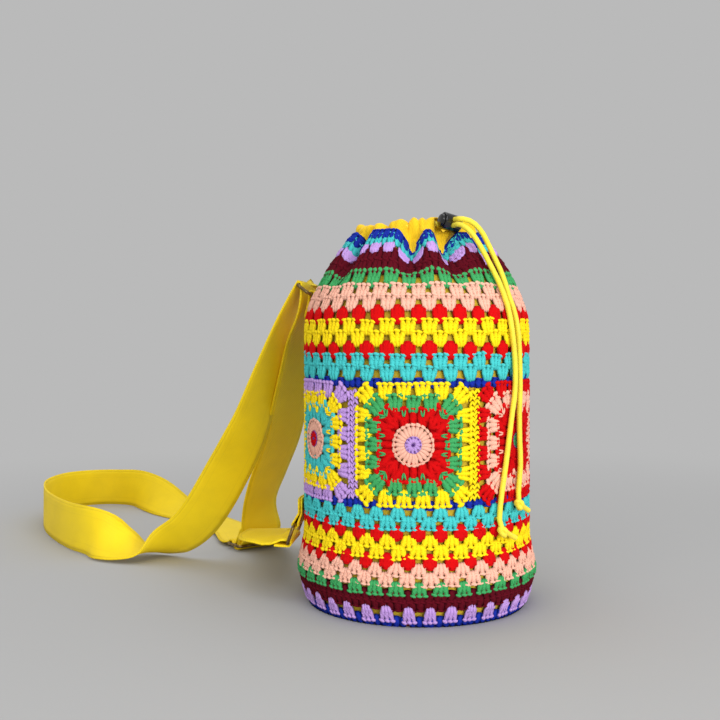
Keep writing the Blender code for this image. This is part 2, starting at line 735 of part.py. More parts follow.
def tube(name, points, diameter, material, resolution=2):
    """A round cord or wire along points, with flat closed ends."""
    curve = bpy.data.curves.new(name, "CURVE")
    curve.dimensions = "3D"
    curve.bevel_depth = diameter / 2
    curve.bevel_resolution = resolution
    curve.use_fill_caps = True
    line = curve.splines.new("POLY")
    line.points.add(len(points) - 1)
    for place, point in zip(line.points, points):
        place.co = (*point, 1.0)
    curve.materials.append(material)
    made = bpy.data.objects.new(name, curve)
    bpy.context.collection.objects.link(made)
    return made


def lock_point(along_hole, along_axis=0.0, stacked=0.0):
    """Point of the cord lock: along its hole, its press axis, and across the cords."""
    return lock_centre() + LOCK_HOLE * along_hole + LOCK_AXIS * along_axis + lock_up() * stacked


def lock_centre():
    """Middle of the cord lock."""
    return LOCK_PLACE + Vector((0, 0, WALL_TOP))


def lock_up():
    """Direction in which the two cords are stacked in the lock."""
    return LOCK_HOLE.cross(LOCK_AXIS).normalized()


def lock_frame():
    """Matrix with X along the cord hole and Z along the press axis."""
    across = LOCK_AXIS.cross(LOCK_HOLE).normalized()
    hole = across.cross(LOCK_AXIS).normalized()
    turn = Matrix((hole, across, LOCK_AXIS)).transposed().to_4x4()
    return Matrix.Translation(lock_centre()) @ turn


def cord_pair_offset():
    """Distance of each stacked cord from the middle of the pair."""
    return CORD_HALF + CLEARANCE / 2


def slot_outline_half():
    """Half the slot's height: one cord and the shares of its gaps on this side."""
    return 2 * CORD_HALF + CLEARANCE + CLEARANCE / 2


def slot_cutter(name, half_up, half_side, shift):
    """Oval cutter along the cord hole, tall enough for the two stacked cords."""
    bm = bmesh.new()
    bmesh.ops.create_cube(bm, size=1.0)
    size = (4 * BARREL_RADIUS, 2 * half_up, 2 * half_side)
    bm.transform(Matrix.Diagonal((*size, 1.0)))
    lengthwise = [e for e in bm.edges if abs((e.verts[0].co - e.verts[1].co).x) > BARREL_RADIUS]
    bmesh.ops.bevel(
        bm, geom=lengthwise, offset=SLOT_ROUNDING * half_side, segments=3,
        profile=0.5, affect="EDGES", material=-1,
    )
    bm.transform(lock_frame() @ Matrix.Translation((0, 0, shift)))
    return place_mesh(name, bm, [])


def make_cord_lock():
    """Barrel, sprung plunger and spring; the cords run through both at right angles."""
    plastic = finish_material("black_plastic", BLACK_PLASTIC, 0.3)
    half = BARREL_LENGTH / 2
    bore = BARREL_RADIUS - BARREL_WALL
    edge = BARREL_EDGE
    profile = [
        (0.0, half), (BARREL_RADIUS - edge, half), (BARREL_RADIUS, half - edge),
        (BARREL_RADIUS, -half + edge / 2), (BARREL_RADIUS - edge / 2, -half),
        (bore, -half), (bore, half - BARREL_FLOOR), (0.0, half - BARREL_FLOOR),
    ]
    barrel = turned("cord_lock_barrel", profile[::-1], plastic, lock_frame(), TURNED_SIDES)
    side = CORD_HALF + CLEARANCE
    up = slot_outline_half()
    cut_with(barrel, slot_cutter("barrel_slot_cutter", up, side, 0.0))
    head = -half - BUTTON_STANDS_OUT
    body = bore - CLEARANCE
    foot = side + PLUNGER_SKIRT
    dome = [(body * share, head + drop) for share, drop in BUTTON_DOME]
    plunger_profile = dome + [(body, foot), (0.0, foot)]
    plunger = turned("cord_lock_plunger", plunger_profile, plastic, lock_frame(), TURNED_SIDES)
    slot_length = side + PLUNGER_TRAVEL / 2
    cut_with(plunger, slot_cutter("plunger_slot_cutter", up, slot_length, -PLUNGER_TRAVEL / 2))
    spring_low = foot + CLEARANCE + SPRING_WIRE / 2
    spring_high = half - BARREL_FLOOR - CLEARANCE - SPRING_WIRE / 2
    coil = bore - CLEARANCE - SPRING_WIRE
    steps = SPRING_TURNS * SPRING_STEPS
    frame = lock_frame()
    points = []
    for number in range(steps + 1):
        turn = 2 * math.pi * number / SPRING_STEPS
        rise = spring_low + (spring_high - spring_low) * number / steps
        points.append(frame @ Vector((coil * math.cos(turn), coil * math.sin(turn), rise)))
    tube("cord_lock_spring", points, SPRING_WIRE, finish_material("spring_steel", STEEL, 0.3, 1.0), 1)


def make_cord_loop():
    """The cord's held length inside the casing; its two ends turn out to the lock."""
    material = finish_material("cord_yellow", CORD_COLOUR, 0.6)
    inset = math.radians(LOOP_INSET)
    angles = [column_angle(c, 0.0) for c in range(COLUMNS)]
    start = next(c for c, angle in enumerate(angles) if angle > lock_angle() + inset)
    points = loop_end(1)
    for angle in angles[start:] + angles[:start]:
        if angle_between(angle, lock_angle()) > inset:
            points.append(polar(angle, casing_radius(angle), casing_top(angle) - channel_drop()))
    points += loop_end(-1)[::-1]
    tube("drawcord_loop", points, CORD_DIAMETER, material)


def loop_end(side):
    """Straight end of the held cord, through the casing's opening to the cord lock."""
    rise = side * cord_pair_offset()
    stop = -BARREL_RADIUS - CORD_JOIN - CLEARANCE
    return [lock_point(stop, 0.0, rise), lock_point(stop - CORD_HALF, 0.0, rise)]


def tail_points(side, free, wall):
    """Route of one cord tail: through the lock, a straight run, then down the wall."""
    rise = side * cord_pair_offset()
    points = [
        lock_point(-BARREL_RADIUS - CORD_JOIN, 0.0, rise), lock_point(0.0, 0.0, rise),
        lock_point(BARREL_RADIUS, 0.0, rise), lock_point(BARREL_RADIUS + TAIL_STRAIGHT, 0.0, rise),
    ]
    points += [Vector(place) + Vector((0, 0, WALL_TOP)) for place in free]
    points += [on_wall(math.radians(angle), WALL_TOP + level) for angle, level in wall]
    return points


def on_wall(angle, height):
    """Point of a cord that lies on the wall."""
    return polar(angle, wall_radius(height) + CORD_HALF + 2 * CLEARANCE, height)


def make_tail(name, knot_name, side, free, wall, knot):
    """One cord tail and the knot at its end."""
    material = finish_material("cord_yellow", CORD_COLOUR, 0.6)
    height = WALL_TOP + knot[1]
    centre = polar(
        math.radians(knot[0]), wall_radius(height) + KNOT_RADIUS + 2 * CLEARANCE, height
    )
    route = tail_points(side, free, wall)
    last = route[-1] - centre
    route.append(centre + last.normalized() * (KNOT_RADIUS + CLEARANCE))
    close = through(route, CORD_STEP / 2)
    tube(name, close[:CORD_CLOSE_POINTS] + close[CORD_CLOSE_POINTS::2], CORD_DIAMETER, material)
    pull = (sideways(math.radians(knot[0])) - Vector((0, 0, KNOT_SAG))).normalized()
    frame = Matrix.Translation(centre) @ pull.to_track_quat("Z", "Y").to_matrix().to_4x4()
    rim = [
        (KNOT_RADIUS * math.sin(t), -KNOT_RADIUS * math.cos(t))
        for t in (math.radians(30 * n) for n in range(5))
    ]
    rim += [(CORD_HALF, KNOT_RADIUS * KNOT_NECK), (CORD_HALF * KNOT_TAPER, KNOT_TAIL), (0.0, KNOT_TAIL)]
    turned(knot_name, rim, material, frame, 12)


def wire_frame(name, outline, bars, material):
    """A closed wire frame of rounded corners, with optional cross bars."""
    bm = bmesh.new()
    sweep(bm, [Vector(place) for place in outline], WIRE / 2, WIRE_SIDES, True)
    body = place_mesh(name, bm, [material])
    for number, (start, end) in enumerate(bars):
        bar = bmesh.new()
        sweep(bar, [Vector(start), Vector(end)], WIRE / 2 * MIDDLE_BAR, WIRE_SIDES, False)
        piece = place_mesh(f"{name}_bar_{number}", bar, [material])
        piece.hide_render = True
        piece.display_type = "WIRE"
        joined = body.modifiers.new(f"bar_{number}", "BOOLEAN")
        joined.operation = "UNION"
        joined.object = piece
    return body


def sweep(bm, path, radius, sides, closed):
    """Sweep a polygon along a path, mitred at its corners."""
    count = len(path)
    rings = []
    normal = None
    for index, point in enumerate(path):
        ahead = path[(index + 1) % count] if closed or index < count - 1 else point
        behind = path[index - 1] if closed or index > 0 else point
        run_out, run_in = (ahead - point), (point - behind)
        run_out = run_out.normalized() if run_out.length else run_in.normalized()
        run_in = run_in.normalized() if run_in.length else run_out
        tangent = (run_out + run_in).normalized()
        if normal is None:
            normal = plane_normal(path)
        across = tangent.cross(normal).normalized()
        stretch = 1 / max(tangent.dot(run_out), 0.5)
        ring = []
        for side in range(sides):
            turn = 2 * math.pi * (side + 0.5) / sides
            offset = across * (math.cos(turn) * stretch) + normal * math.sin(turn)
            ring.append(bm.verts.new(point + offset * radius))
        rings.append(ring)
    for index in range(count if closed else count - 1):
        first, second = rings[index], rings[(index + 1) % count]
        for side in range(sides):
            n = (side + 1) % sides
            bm.faces.new((first[side], first[n], second[n], second[side]))
    if not closed:
        bm.faces.new(rings[0])
        bm.faces.new(rings[-1])


def plane_normal(path):
    """Normal of the plane that a path lies in."""
    if len(path) == 2:
        return (path[1] - path[0]).orthogonal().normalized()
    total = Vector()
    for index in range(len(path)):
        total += path[index - 1].cross(path[index])
    return total.normalized()


def rounded_frame(centre, across, along, half_across, half_along, corner):
    """Centre line of a rectangular ring with chamfered corners."""
    out = []
    for sx, sy in ((1, 1), (-1, 1), (-1, -1), (1, -1)):
        first = (sx * half_across, sy * (half_along - corner))
        second = (sx * (half_across - corner), sy * half_along)
        pair = (first, second) if sx * sy > 0 else (second, first)
        for x, y in pair:
            out.append(centre + across * x + along * y)
    return out


def upper_anchor():
    """Angle and height at which the upper ring is sewn on."""
    return UPPER_ANCHOR_ANGLE, WALL_TOP - UPPER_ANCHOR_DROP


def lower_anchor():
    """Angle and height at which the lower ring is sewn on."""
    return LOWER_ANCHOR_ANGLE, LOWER_ANCHOR_HEIGHT


def ring_axes(anchor, lean_angle, across_angle):
    """Bar at the tab, the ring's lean away from the bag, and the bar's direction."""
    angle, height = anchor
    bar = polar(angle, wall_radius(height) + RING_STAND_OFF, height)
    lean = outward(angle) * math.cos(lean_angle) + Vector((0, 0, math.sin(lean_angle)))
    across = outward(across_angle)
    lean = (lean - across * lean.dot(across)).normalized()
    return bar, lean, across


def upper_ring_axes():
    """Bar, lean and bar direction of the upper ring."""
    return ring_axes(upper_anchor(), UPPER_RING_LEAN, UPPER_RING_TURN)


def lower_ring_axes():
    """Bar, lean and bar direction of the lower ring."""
    return ring_axes(lower_anchor(), LOWER_RING_LEAN, LOWER_RING_TURN)


def ring_far_bar(axes, depth):
    """Middle of the bar that the sling is laid round."""
    return axes[0] + axes[1] * depth


def make_ring(name, axes, depth):
    """Rectangular wire ring between a tab and the sling."""
    bar, lean, across = axes
    brass = finish_material("antique_brass", BRASS, 0.35, 1.0)
    centre = bar + lean * (depth / 2)
    half = RING_INSIDE / 2 + WIRE / 2
    outline = rounded_frame(centre, across, lean, half, depth / 2, FRAME_CORNER)
    wire_frame(name, outline, [], brass)


def make_slider():
    """Adjusting buckle: a wire frame with a middle bar."""
    brass = finish_material("antique_brass", BRASS, 0.35, 1.0)
    run = slider_run()
    half = RING_INSIDE / 2 + WIRE / 2
    outline = rounded_frame(SLIDER_PLACE, SLIDER_ACROSS, run, half, SLIDER_PITCH, FRAME_CORNER)
    ends = (SLIDER_PLACE - SLIDER_ACROSS * half, SLIDER_PLACE + SLIDER_ACROSS * half)
    wire_frame("strap_slider", outline, [ends], brass)


def slider_run():
    """Way the webbing runs through the buckle, towards the lower ring."""
    return Vector((SLIDER_ACROSS.y, -SLIDER_ACROSS.x, 0.0)).normalized()


def bar_turn():
    """Radius of the webbing's middle round a bar."""
    return WIRE / 2 + CLEARANCE + WEBBING_THICKNESS / 2


def around(bar, first, second, turns):
    """Points round a bar in the plane of two directions, at angles from the first."""
    out = []
    for turn in turns:
        turn = math.radians(turn)
        out.append(bar + (first * math.cos(turn) + second * math.sin(turn)) * bar_turn())
    return out


def followed(stations, bar, laid, shares):
    """Stations moved by their share of a ring's shift from where it was laid out."""
    shift = bar - laid
    return [
        (Vector(place) + shift * share, Vector(way))
        for (place, way), share in zip(stations, shares)
    ]


def strap_stations():
    """Middle of the webbing and its width direction, from one sewn end to the other."""
    up = Vector((0, 0, 1))
    run = slider_run()
    rise = up * math.cos(BUCKLE_LEAN) + run * math.sin(BUCKLE_LEAN)
    side = run * math.cos(BUCKLE_LEAN) - up * math.sin(BUCKLE_LEAN)
    half_pair = WEBBING_THICKNESS / 2 + LAYER_CLEARANCE / 2
    tail_top = SLIDER_PLACE + rise * BUCKLE_TAIL - side * half_pair
    low = SLIDER_PLACE + rise * (BUCKLE_TAIL * BUCKLE_FOLD_SHARE)
    tail_low = low - side * (half_pair * BUCKLE_FOLD_SPREAD)
    main_low = low + side * (half_pair * BUCKLE_FOLD_SPREAD)
    main_top = SLIDER_PLACE + rise * BUCKLE_TAIL + side * half_pair
    stations = [(tail_top, SLIDER_ACROSS), (tail_low, SLIDER_ACROSS)]
    for point in around(SLIDER_PLACE, -side, -rise, BUCKLE_WRAP):
        stations.append((point, SLIDER_ACROSS))
    stations += [(main_low, SLIDER_ACROSS), (main_top, SLIDER_ACROSS)]
    axes = upper_ring_axes()
    bar = ring_far_bar(axes, UPPER_RING_DEPTH)
    growing = [(n + 1) / len(STRAP_RISE) for n in range(len(STRAP_RISE))]
    stations += followed(STRAP_RISE, bar, UPPER_BAR_LAID, growing)
    across = -axes[2]
    inward = -outward(UPPER_ANCHOR_ANGLE)
    inward = (inward - across * inward.dot(across)).normalized()
    for point in around(bar, inward, up, UPPER_WRAP):
        stations.append((point, across))
    fading = [max(1 - n / FALL_FOLLOWS, 0.0) for n in range(len(STRAP_FALL))]
    stations += followed(STRAP_FALL, bar, UPPER_BAR_LAID, fading)
    turn = bar_turn()
    first_bar = SLIDER_PLACE - run * SLIDER_PITCH
    last_bar = SLIDER_PLACE + run * SLIDER_PITCH
    under = SLIDER_PLACE - up * (WEBBING_THICKNESS + turn + CLEARANCE)
    step = SLIDER_PITCH * SLIDER_STEP
    crest = turn + CLEARANCE * 2
    stations += [
        (first_bar - run * (3 * step) - up * (turn / 2), SLIDER_ACROSS),
        (first_bar - run * step, SLIDER_ACROSS), (first_bar + up * crest, SLIDER_ACROSS),
        (first_bar + run * step, SLIDER_ACROSS),
        (under - run * (step / 2), SLIDER_ACROSS), (under + run * (step / 2), SLIDER_ACROSS),
        (last_bar - run * step, SLIDER_ACROSS), (last_bar + up * crest, SLIDER_ACROSS),
    ]
    axes = lower_ring_axes()
    bar = ring_far_bar(axes, LOWER_RING_DEPTH)
    growing = [(n + 1) / len(STRAP_LINK) for n in range(len(STRAP_LINK))]
    stations += followed(STRAP_LINK, bar, LOWER_BAR_LAID, growing)
    across = -axes[2]
    away = outward(LOWER_ANCHOR_ANGLE)
    away = (away - across * away.dot(across)).normalized()
    beside = [
        (bar + away * (turn * out) + up * (turn * rise), across)
        for out, rise in (LOWER_ARRIVAL, LOWER_FOLD, LOWER_END)
    ]
    stations.append(beside[0])
    for point in around(bar, up, -away, LOWER_WRAP):
        stations.append((point, across))
    return stations + beside[1:]


def make_strap():
    """One length of flat webbing, folded and sewn round the buckle bar and the ring."""
    stations = strap_stations()
    middles = [place for place, _ in stations]
    ways = [way.normalized() for _, way in stations]
    path = []
    widths = []
    for index in range(len(middles) - 1):
        near = (max(index - 1, 0), index, index + 1, min(index + 2, len(middles) - 1))
        parts = 2 if (middles[index + 1] - middles[index]).length > 0.008 else 1
        for part in range(parts):
            path.append(spline(*(middles[n] for n in near), part / parts))
            widths.append(spline(*(ways[n] for n in near), part / parts))
    path.append(middles[-1])
    widths.append(ways[-1])
    bm = bmesh.new()
    rings = []
    for index, point in enumerate(path):
        tangent = (path[min(index + 1, len(path) - 1)] - path[max(index - 1, 0)]).normalized()
        width = widths[index] - tangent * widths[index].dot(tangent)
        width = width.normalized() * (WEBBING_WIDTH / 2)
        face = tangent.cross(width).normalized() * (WEBBING_THICKNESS / 2)
        corners = [point + width * x + face * y for x, y in ((-1, -1), (1, -1), (1, 1), (-1, 1))]
        lift = max(CLEARANCE - min(corner.z for corner in corners), 0.0)
        rings.append([bm.verts.new(corner + Vector((0, 0, lift))) for corner in corners])
    for first, second in zip(rings, rings[1:]):
        for side in range(4):
            n = (side + 1) % 4
            bm.faces.new((first[side], first[n], second[n], second[side]))
    bm.faces.new(rings[0])
    bm.faces.new(rings[-1])
    place_mesh("strap_webbing", bm, [finish_material("webbing", WEBBING_COLOUR, 0.7)], True)


def make_tab(name, anchor, axes, direction):
    """Short webbing loop round a ring's bar, its ends sewn flat to the wall."""
    angle, height = anchor
    bar, _, across = axes
    out = outward(angle)
    out = (out - across * out.dot(across)).normalized()
    up = Vector((0, 0, direction))
    turn = bar_turn()
    lap = WEBBING_THICKNESS + LAYER_CLEARANCE
    bm = bmesh.new()
    rings = []
    seat = TAB_SEAT + WEBBING_THICKNESS / 2
    inner = [(seat, -TAB_LENGTH), (seat, -TAB_LENGTH * TAB_FOLD_SHARE)]
    outer = [(seat + lap, -TAB_LENGTH * TAB_FOLD_SHARE), (seat + lap, -TAB_LENGTH)]
    loop = [
        (RING_STAND_OFF + turn * math.cos(math.radians(t)), turn * math.sin(math.radians(t)))
        for t in TAB_WRAP
    ]
    path = [(x, y, True) for x, y in inner]
    path += [(x, y, False) for x, y in loop]
    path += [(x, y, True) for x, y in outer]
    places = []
    for x, y, on_bag in path:
        level = height + direction * y
        radius = (wall_radius(level) if on_bag else wall_radius(height)) + x
        places.append((radius, level, on_bag))
    for index, (radius, level, on_bag) in enumerate(places):
        before, after = places[max(index - 1, 0)], places[min(index + 1, len(places) - 1)]
        slope = Vector((after[0] - before[0], after[1] - before[1])).normalized()
        normal = Vector((-slope.y, slope.x)) * (WEBBING_THICKNESS / 2)
        ring = []
        for x, y in ((-1, -1), (0, -1), (1, -1), (1, 1), (0, 1), (-1, 1)):
            spread = x * TAB_WIDTH / 2
            sag = spread * spread / (2 * radius) if on_bag else 0.0
            base = polar(angle, radius + normal.x * y, level + normal.y * y)
            way = sideways(angle) if on_bag else across
            ring.append(bm.verts.new(base + way * spread - outward(angle) * sag))
        rings.append(ring)
    for first, second in zip(rings, rings[1:]):
        for side in range(6):
            n = (side + 1) % 6
            bm.faces.new((first[side], first[n], second[n], second[side]))
    for ring in (rings[0], rings[-1]):
        bm.faces.new(ring)
    place_mesh(name, bm, [finish_material("webbing", WEBBING_COLOUR, 0.7)], True)


def make_crochet():
    """The two worked bands and the squares between them."""
    worked_wall(
        "crochet_lower", LOWER_ROWS, SEAM_LIFT, SQUARE_BOTTOM - CLEARANCE / 2,
        LOWER_OPEN_ROWS, False, foot_levels()[:1],
    )
    worked_wall(
        "crochet_upper", UPPER_ROWS, SQUARE_TOP + CLEARANCE / 2, WALL_TOP,
        UPPER_OPEN_ROWS, True, neck_levels(),
    )
    for index in range(SQUARES_ROUND):
        granny_square(f"granny_square_{index + 1}", index)


def main():
    """Build every piece of the bag."""
    clear_scene()
    make_base()
    make_crochet()
    make_lining()
    make_casing()
    make_cord_lock()
    make_cord_loop()
    make_tail("drawcord_tail_left", "cord_knot_left", -1, LEFT_FREE, LEFT_WALL, LEFT_KNOT)
    make_tail("drawcord_tail_right", "cord_knot_right", 1, RIGHT_FREE, RIGHT_WALL, RIGHT_KNOT)
    make_ring("upper_ring", upper_ring_axes(), UPPER_RING_DEPTH)
    make_ring("lower_ring", lower_ring_axes(), LOWER_RING_DEPTH)
    make_tab("upper_tab", upper_anchor(), upper_ring_axes(), 1)
    make_tab("lower_tab", lower_anchor(), lower_ring_axes(), -1)
    make_slider()
    make_strap()


main()
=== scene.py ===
"""Look of a crocheted drawstring bag with granny squares and a webbing sling.

The CAD frame gives size and place. Every soft piece is modelled again here as
stitches, cloth, webbing and cord; the cord lock keeps its CAD solids.
"""
from __future__ import annotations

import json
import logging
import math
from dataclasses import dataclass, field, replace
from enum import Enum
from typing import Callable, Iterable, Sequence

import bmesh
import bpy
from mathutils import Matrix, Vector, noise

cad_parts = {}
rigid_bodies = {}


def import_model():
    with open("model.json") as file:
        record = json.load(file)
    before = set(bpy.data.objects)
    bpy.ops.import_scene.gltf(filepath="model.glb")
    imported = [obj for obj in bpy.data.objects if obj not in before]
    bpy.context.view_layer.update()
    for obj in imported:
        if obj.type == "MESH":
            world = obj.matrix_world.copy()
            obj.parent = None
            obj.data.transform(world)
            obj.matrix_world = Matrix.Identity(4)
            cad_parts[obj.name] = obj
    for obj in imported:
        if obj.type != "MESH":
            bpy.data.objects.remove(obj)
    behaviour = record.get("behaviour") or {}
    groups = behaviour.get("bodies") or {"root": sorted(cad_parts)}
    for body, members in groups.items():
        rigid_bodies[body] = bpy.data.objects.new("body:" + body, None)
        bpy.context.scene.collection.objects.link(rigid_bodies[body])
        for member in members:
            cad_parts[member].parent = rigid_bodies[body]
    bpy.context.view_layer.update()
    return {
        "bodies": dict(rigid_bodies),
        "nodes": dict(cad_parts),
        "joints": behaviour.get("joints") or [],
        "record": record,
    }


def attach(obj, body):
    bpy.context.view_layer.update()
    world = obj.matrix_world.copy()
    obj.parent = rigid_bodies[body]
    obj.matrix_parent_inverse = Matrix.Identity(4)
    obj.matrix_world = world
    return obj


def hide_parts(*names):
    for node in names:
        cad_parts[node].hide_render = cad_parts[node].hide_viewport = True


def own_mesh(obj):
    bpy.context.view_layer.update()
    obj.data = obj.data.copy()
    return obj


LOG = logging.getLogger("crochet_bag")

Point2 = tuple[float, float]
Point3 = tuple[float, float, float]
Colour = tuple[float, float, float]
Surface = Callable[[float, float, float], Vector]
Station = tuple[Vector, Vector]
UP = Vector((0.0, 0.0, 1.0))

# Sizes repeated from the CAD source, in metres and radians
BODY_RADIUS = 0.100
FOOT_FLARE = 0.0055
FOOT_FLARE_HEIGHT = 0.032
FOOT_FLARE_SPREAD = 0.018
FOOT_TUCK = 0.004
FOOT_TUCK_HEIGHT = 0.020
NECK_RADIUS = 0.057
SHOULDER_DROP = 0.082
SHOULDER_POWER = 1.8
WALL_TOP = 0.320
GATHER_START = 0.265
CROCHET_THICKNESS = 0.0042
LINING_DEPTH = 0.0055
BASE_THICKNESS = 0.004
SQUARES_ROUND = 6
SQUARE_HEIGHT = 0.091
SQUARE_BOTTOM = 0.100
SQUARE_TURN = math.radians(-2)
FOLD_ANGLES = (-54, -7, 21, 54, 88, 124, 162, 200, 238, 272)
FOLD_HALF_WIDTH = math.radians(13)
FOLD_DEPTH = 0.0080
FOLD_DIP = 0.015
LOBE_RISE = 0.0030
CLEARANCE = 0.0003
LAYER_CLEARANCE = 0.0008
CORD_DIAMETER = 0.0046
CORD_HALF = CORD_DIAMETER / 2
WIRE = 0.0030
WEBBING_WIDTH = 0.050
WEBBING_THICKNESS = 0.0016

LOCK_PLACE = Vector((0.0262, -0.0492, WALL_TOP + 0.0077))
LOCK_ANGLE = math.atan2(LOCK_PLACE.x, -LOCK_PLACE.y)

# Crochet of the real bag: clusters of three long stitches in each round
CLUSTERS_ROUND = 36
PITCH = 2 * math.pi * BODY_RADIUS / CLUSTERS_ROUND
RIM_RISE = 0.0028
RIM_BEHIND_LOCK = -0.0006
PRESS_HALF_WIDTH = math.radians(34)
PRESS_FULL = 0.8


class Value:
    """A shader socket that can be used in sums.

    Attributes:
        graph: node tree that the socket is in.
        socket: the socket.
    """

    def __init__(self, graph: "Graph", socket: bpy.types.NodeSocket) -> None:
        """Keep a socket with its graph."""
        self.graph = graph
        self.socket = socket

    def __add__(self, other: "Value | float") -> "Value":
        """Sum with a value or a number."""
        return self.graph.math("ADD", self, other)

    def __sub__(self, other: "Value | float") -> "Value":
        """Difference from a value or a number."""
        return self.graph.math("SUBTRACT", self, other)

    def __mul__(self, other: "Value | float") -> "Value":
        """Product with a value or a number."""
        return self.graph.math("MULTIPLY", self, other)

    def absolute(self) -> "Value":
        """The value without its sign."""
        return self.graph.math("ABSOLUTE", self)

    def swing(self) -> "Value":
        """Sine from -1 to 1, once for each whole number."""
        return self.graph.math("SINE", self * (2 * math.pi))

    def wave(self) -> "Value":
        """Sine from 0 to 1, once for each whole number."""
        return self.swing() * 0.5 + 0.5

    def smooth(self, low: float, high: float) -> "Value":
        """0 below low, 1 above high, and a soft step between them."""
        node = self.graph.node("ShaderNodeMapRange", interpolation_type="SMOOTHSTEP")
        self.graph.feed(node.inputs["Value"], self)
        node.inputs["From Min"].default_value = low
        node.inputs["From Max"].default_value = high
        return Value(self.graph, node.outputs["Result"])

    def band(self, low: float, high: float) -> "Value":
        """1 where the value is between low and high, with soft sides."""
        middle = (low + high) / 2
        return self.smooth(low, middle) - self.smooth(middle, high)


class Graph:
    """Node tree of one material, with short ways to add to it."""

    def __init__(self, name: str) -> None:
        """Start a material of that name with its usual shader."""
        self.material = bpy.data.materials.new(name)
        self.material.use_nodes = True
        self.tree = self.material.node_tree
        self.shader = self.tree.nodes["Principled BSDF"]
        self.output = self.tree.nodes["Material Output"]

    def node(self, kind: str, **settings: object) -> bpy.types.Node:
        """Add a node of any kind.

        Args:
            kind: Blender's name of the node type.
            settings: properties of the node.

        Returns:
            The node.
        """
        made = self.tree.nodes.new(kind)
        for key, value in settings.items():
            setattr(made, key, value)
        return made

    def feed(self, socket: bpy.types.NodeSocket, value: Value | float) -> None:
        """Link a value to a socket, or set it where the value is a constant."""
        if isinstance(value, Value):
            self.tree.links.new(value.socket, socket)
        else:
            socket.default_value = value

    def math(self, operation: str, *terms: Value | float) -> Value:
        """One Math node over constants and values."""
        node = self.node("ShaderNodeMath", operation=operation)
        for place, term in zip(node.inputs, terms):
            self.feed(place, term)
        return Value(self, node.outputs[0])

    def attribute(self, name: str) -> Value:
        """A number stored on the mesh."""
        node = self.node("ShaderNodeAttribute", attribute_name=name)
        return Value(self, node.outputs["Fac"])

    def uv(self) -> tuple[Value, Value]:
        """The two UV coordinates."""
        node = self.node("ShaderNodeUVMap", uv_map="UVMap")
        parts = self.node("ShaderNodeSeparateXYZ")
        self.tree.links.new(node.outputs["UV"], parts.inputs[0])
        return Value(self, parts.outputs["X"]), Value(self, parts.outputs["Y"])

    def object_point(self) -> bpy.types.NodeSocket:
        """Socket of the point in the object's own space."""
        return self.node("ShaderNodeTexCoord").outputs["Object"]

    def noise(self, scale: float, detail: float = 3.0, roughness: float = 0.6) -> Value:
        """Noise over the object's own space, about 0 to 1."""
        node = self.node("ShaderNodeTexNoise")
        self.tree.links.new(self.object_point(), node.inputs["Vector"])
        node.inputs["Scale"].default_value = scale
        node.inputs["Detail"].default_value = detail
        node.inputs["Roughness"].default_value = roughness
        return Value(self, node.outputs["Fac"])

    def colour(self, share: Value, first: Colour, second: Colour) -> None:
        """Give the shader a base colour between two colours."""
        node = self.node("ShaderNodeMix", data_type="RGBA")
        self.feed(node.inputs[0], share)
        node.inputs[6].default_value = (*first, 1.0)
        node.inputs[7].default_value = (*second, 1.0)
        self.tree.links.new(node.outputs[2], self.shader.inputs["Base Color"])

    def bump(self, height: Value, distance: float, strength: float) -> None:
        """Give the shader relief from a height."""
        node = self.node("ShaderNodeBump")
        node.inputs["Strength"].default_value = strength
        node.inputs["Distance"].default_value = distance
        self.feed(node.inputs["Height"], height)
        self.tree.links.new(node.outputs["Normal"], self.shader.inputs["Normal"])

    def specular(self, level: float) -> None:
        """Set how strongly the shader reflects."""
        self.shader.inputs["Specular IOR Level"].default_value = level

    def constants(self, **values: float) -> None:
        """Set the shader's plain inputs, named with underscores for spaces."""
        for name, value in values.items():
            self.shader.inputs[name.replace("_", " ").title()].default_value = value


def shade(colour: Colour, factor: float) -> Colour:
    """A colour made darker or lighter."""
    red, green, blue = (min(channel * factor, 1.0) for channel in colour)
    return red, green, blue


@dataclass(frozen=True)
class Finish:
    """A material's name and main colour.

    Attributes:
        name: name of the material.
        colour: its linear colour in full light.
    """

    name: str
    colour: Colour

    def build(self) -> bpy.types.Material:
        """Make the material.

        Returns:
            The material with its nodes.
        """
        graph = Graph(self.name)
        self.paint(graph)
        return graph.material

    def paint(self, graph: Graph) -> None:
        """Add the nodes of this kind of finish."""
        raise NotImplementedError


@dataclass(frozen=True)
class Yarn(Finish):
    """Cotton yarn: twisted plies, with painted shade where it dips between stitches and painted light
    on its tops.
    """

    PLIES = 2.0
    PLY_SLANT = 2.5
    FUZZ = 900.0
    # Colour shares for the painted shade in the creases and the painted light on the tops
    PAINTED_CREASE_SHADE = 0.315
    PAINTED_TOP_LIGHT = 1.12

    def paint(self, graph: Graph) -> None:
        """Add plies and fuzz over the painted shade and light from the depth stored on each stitch."""
        around, along = graph.uv()
        ply = (around * self.PLIES + along * self.PLY_SLANT).wave()
        fuzz = graph.noise(self.FUZZ, 4.0, 0.7)
        # Painted shade and light: the stored depth darkens the creases between stitches and lightens
        # their tops
        light = graph.attribute("shade") * 0.85 + ply * 0.10 + fuzz * 0.28 - 0.16
        low, high = shade(self.colour, self.PAINTED_CREASE_SHADE), shade(self.colour, self.PAINTED_TOP_LIGHT)
        graph.colour(light.smooth(-0.05, 1.0), low, high)
        graph.bump(ply * 0.7 + fuzz * 0.6, 0.0005, 0.8)
        graph.constants(roughness=0.92)
        graph.specular(0.08)


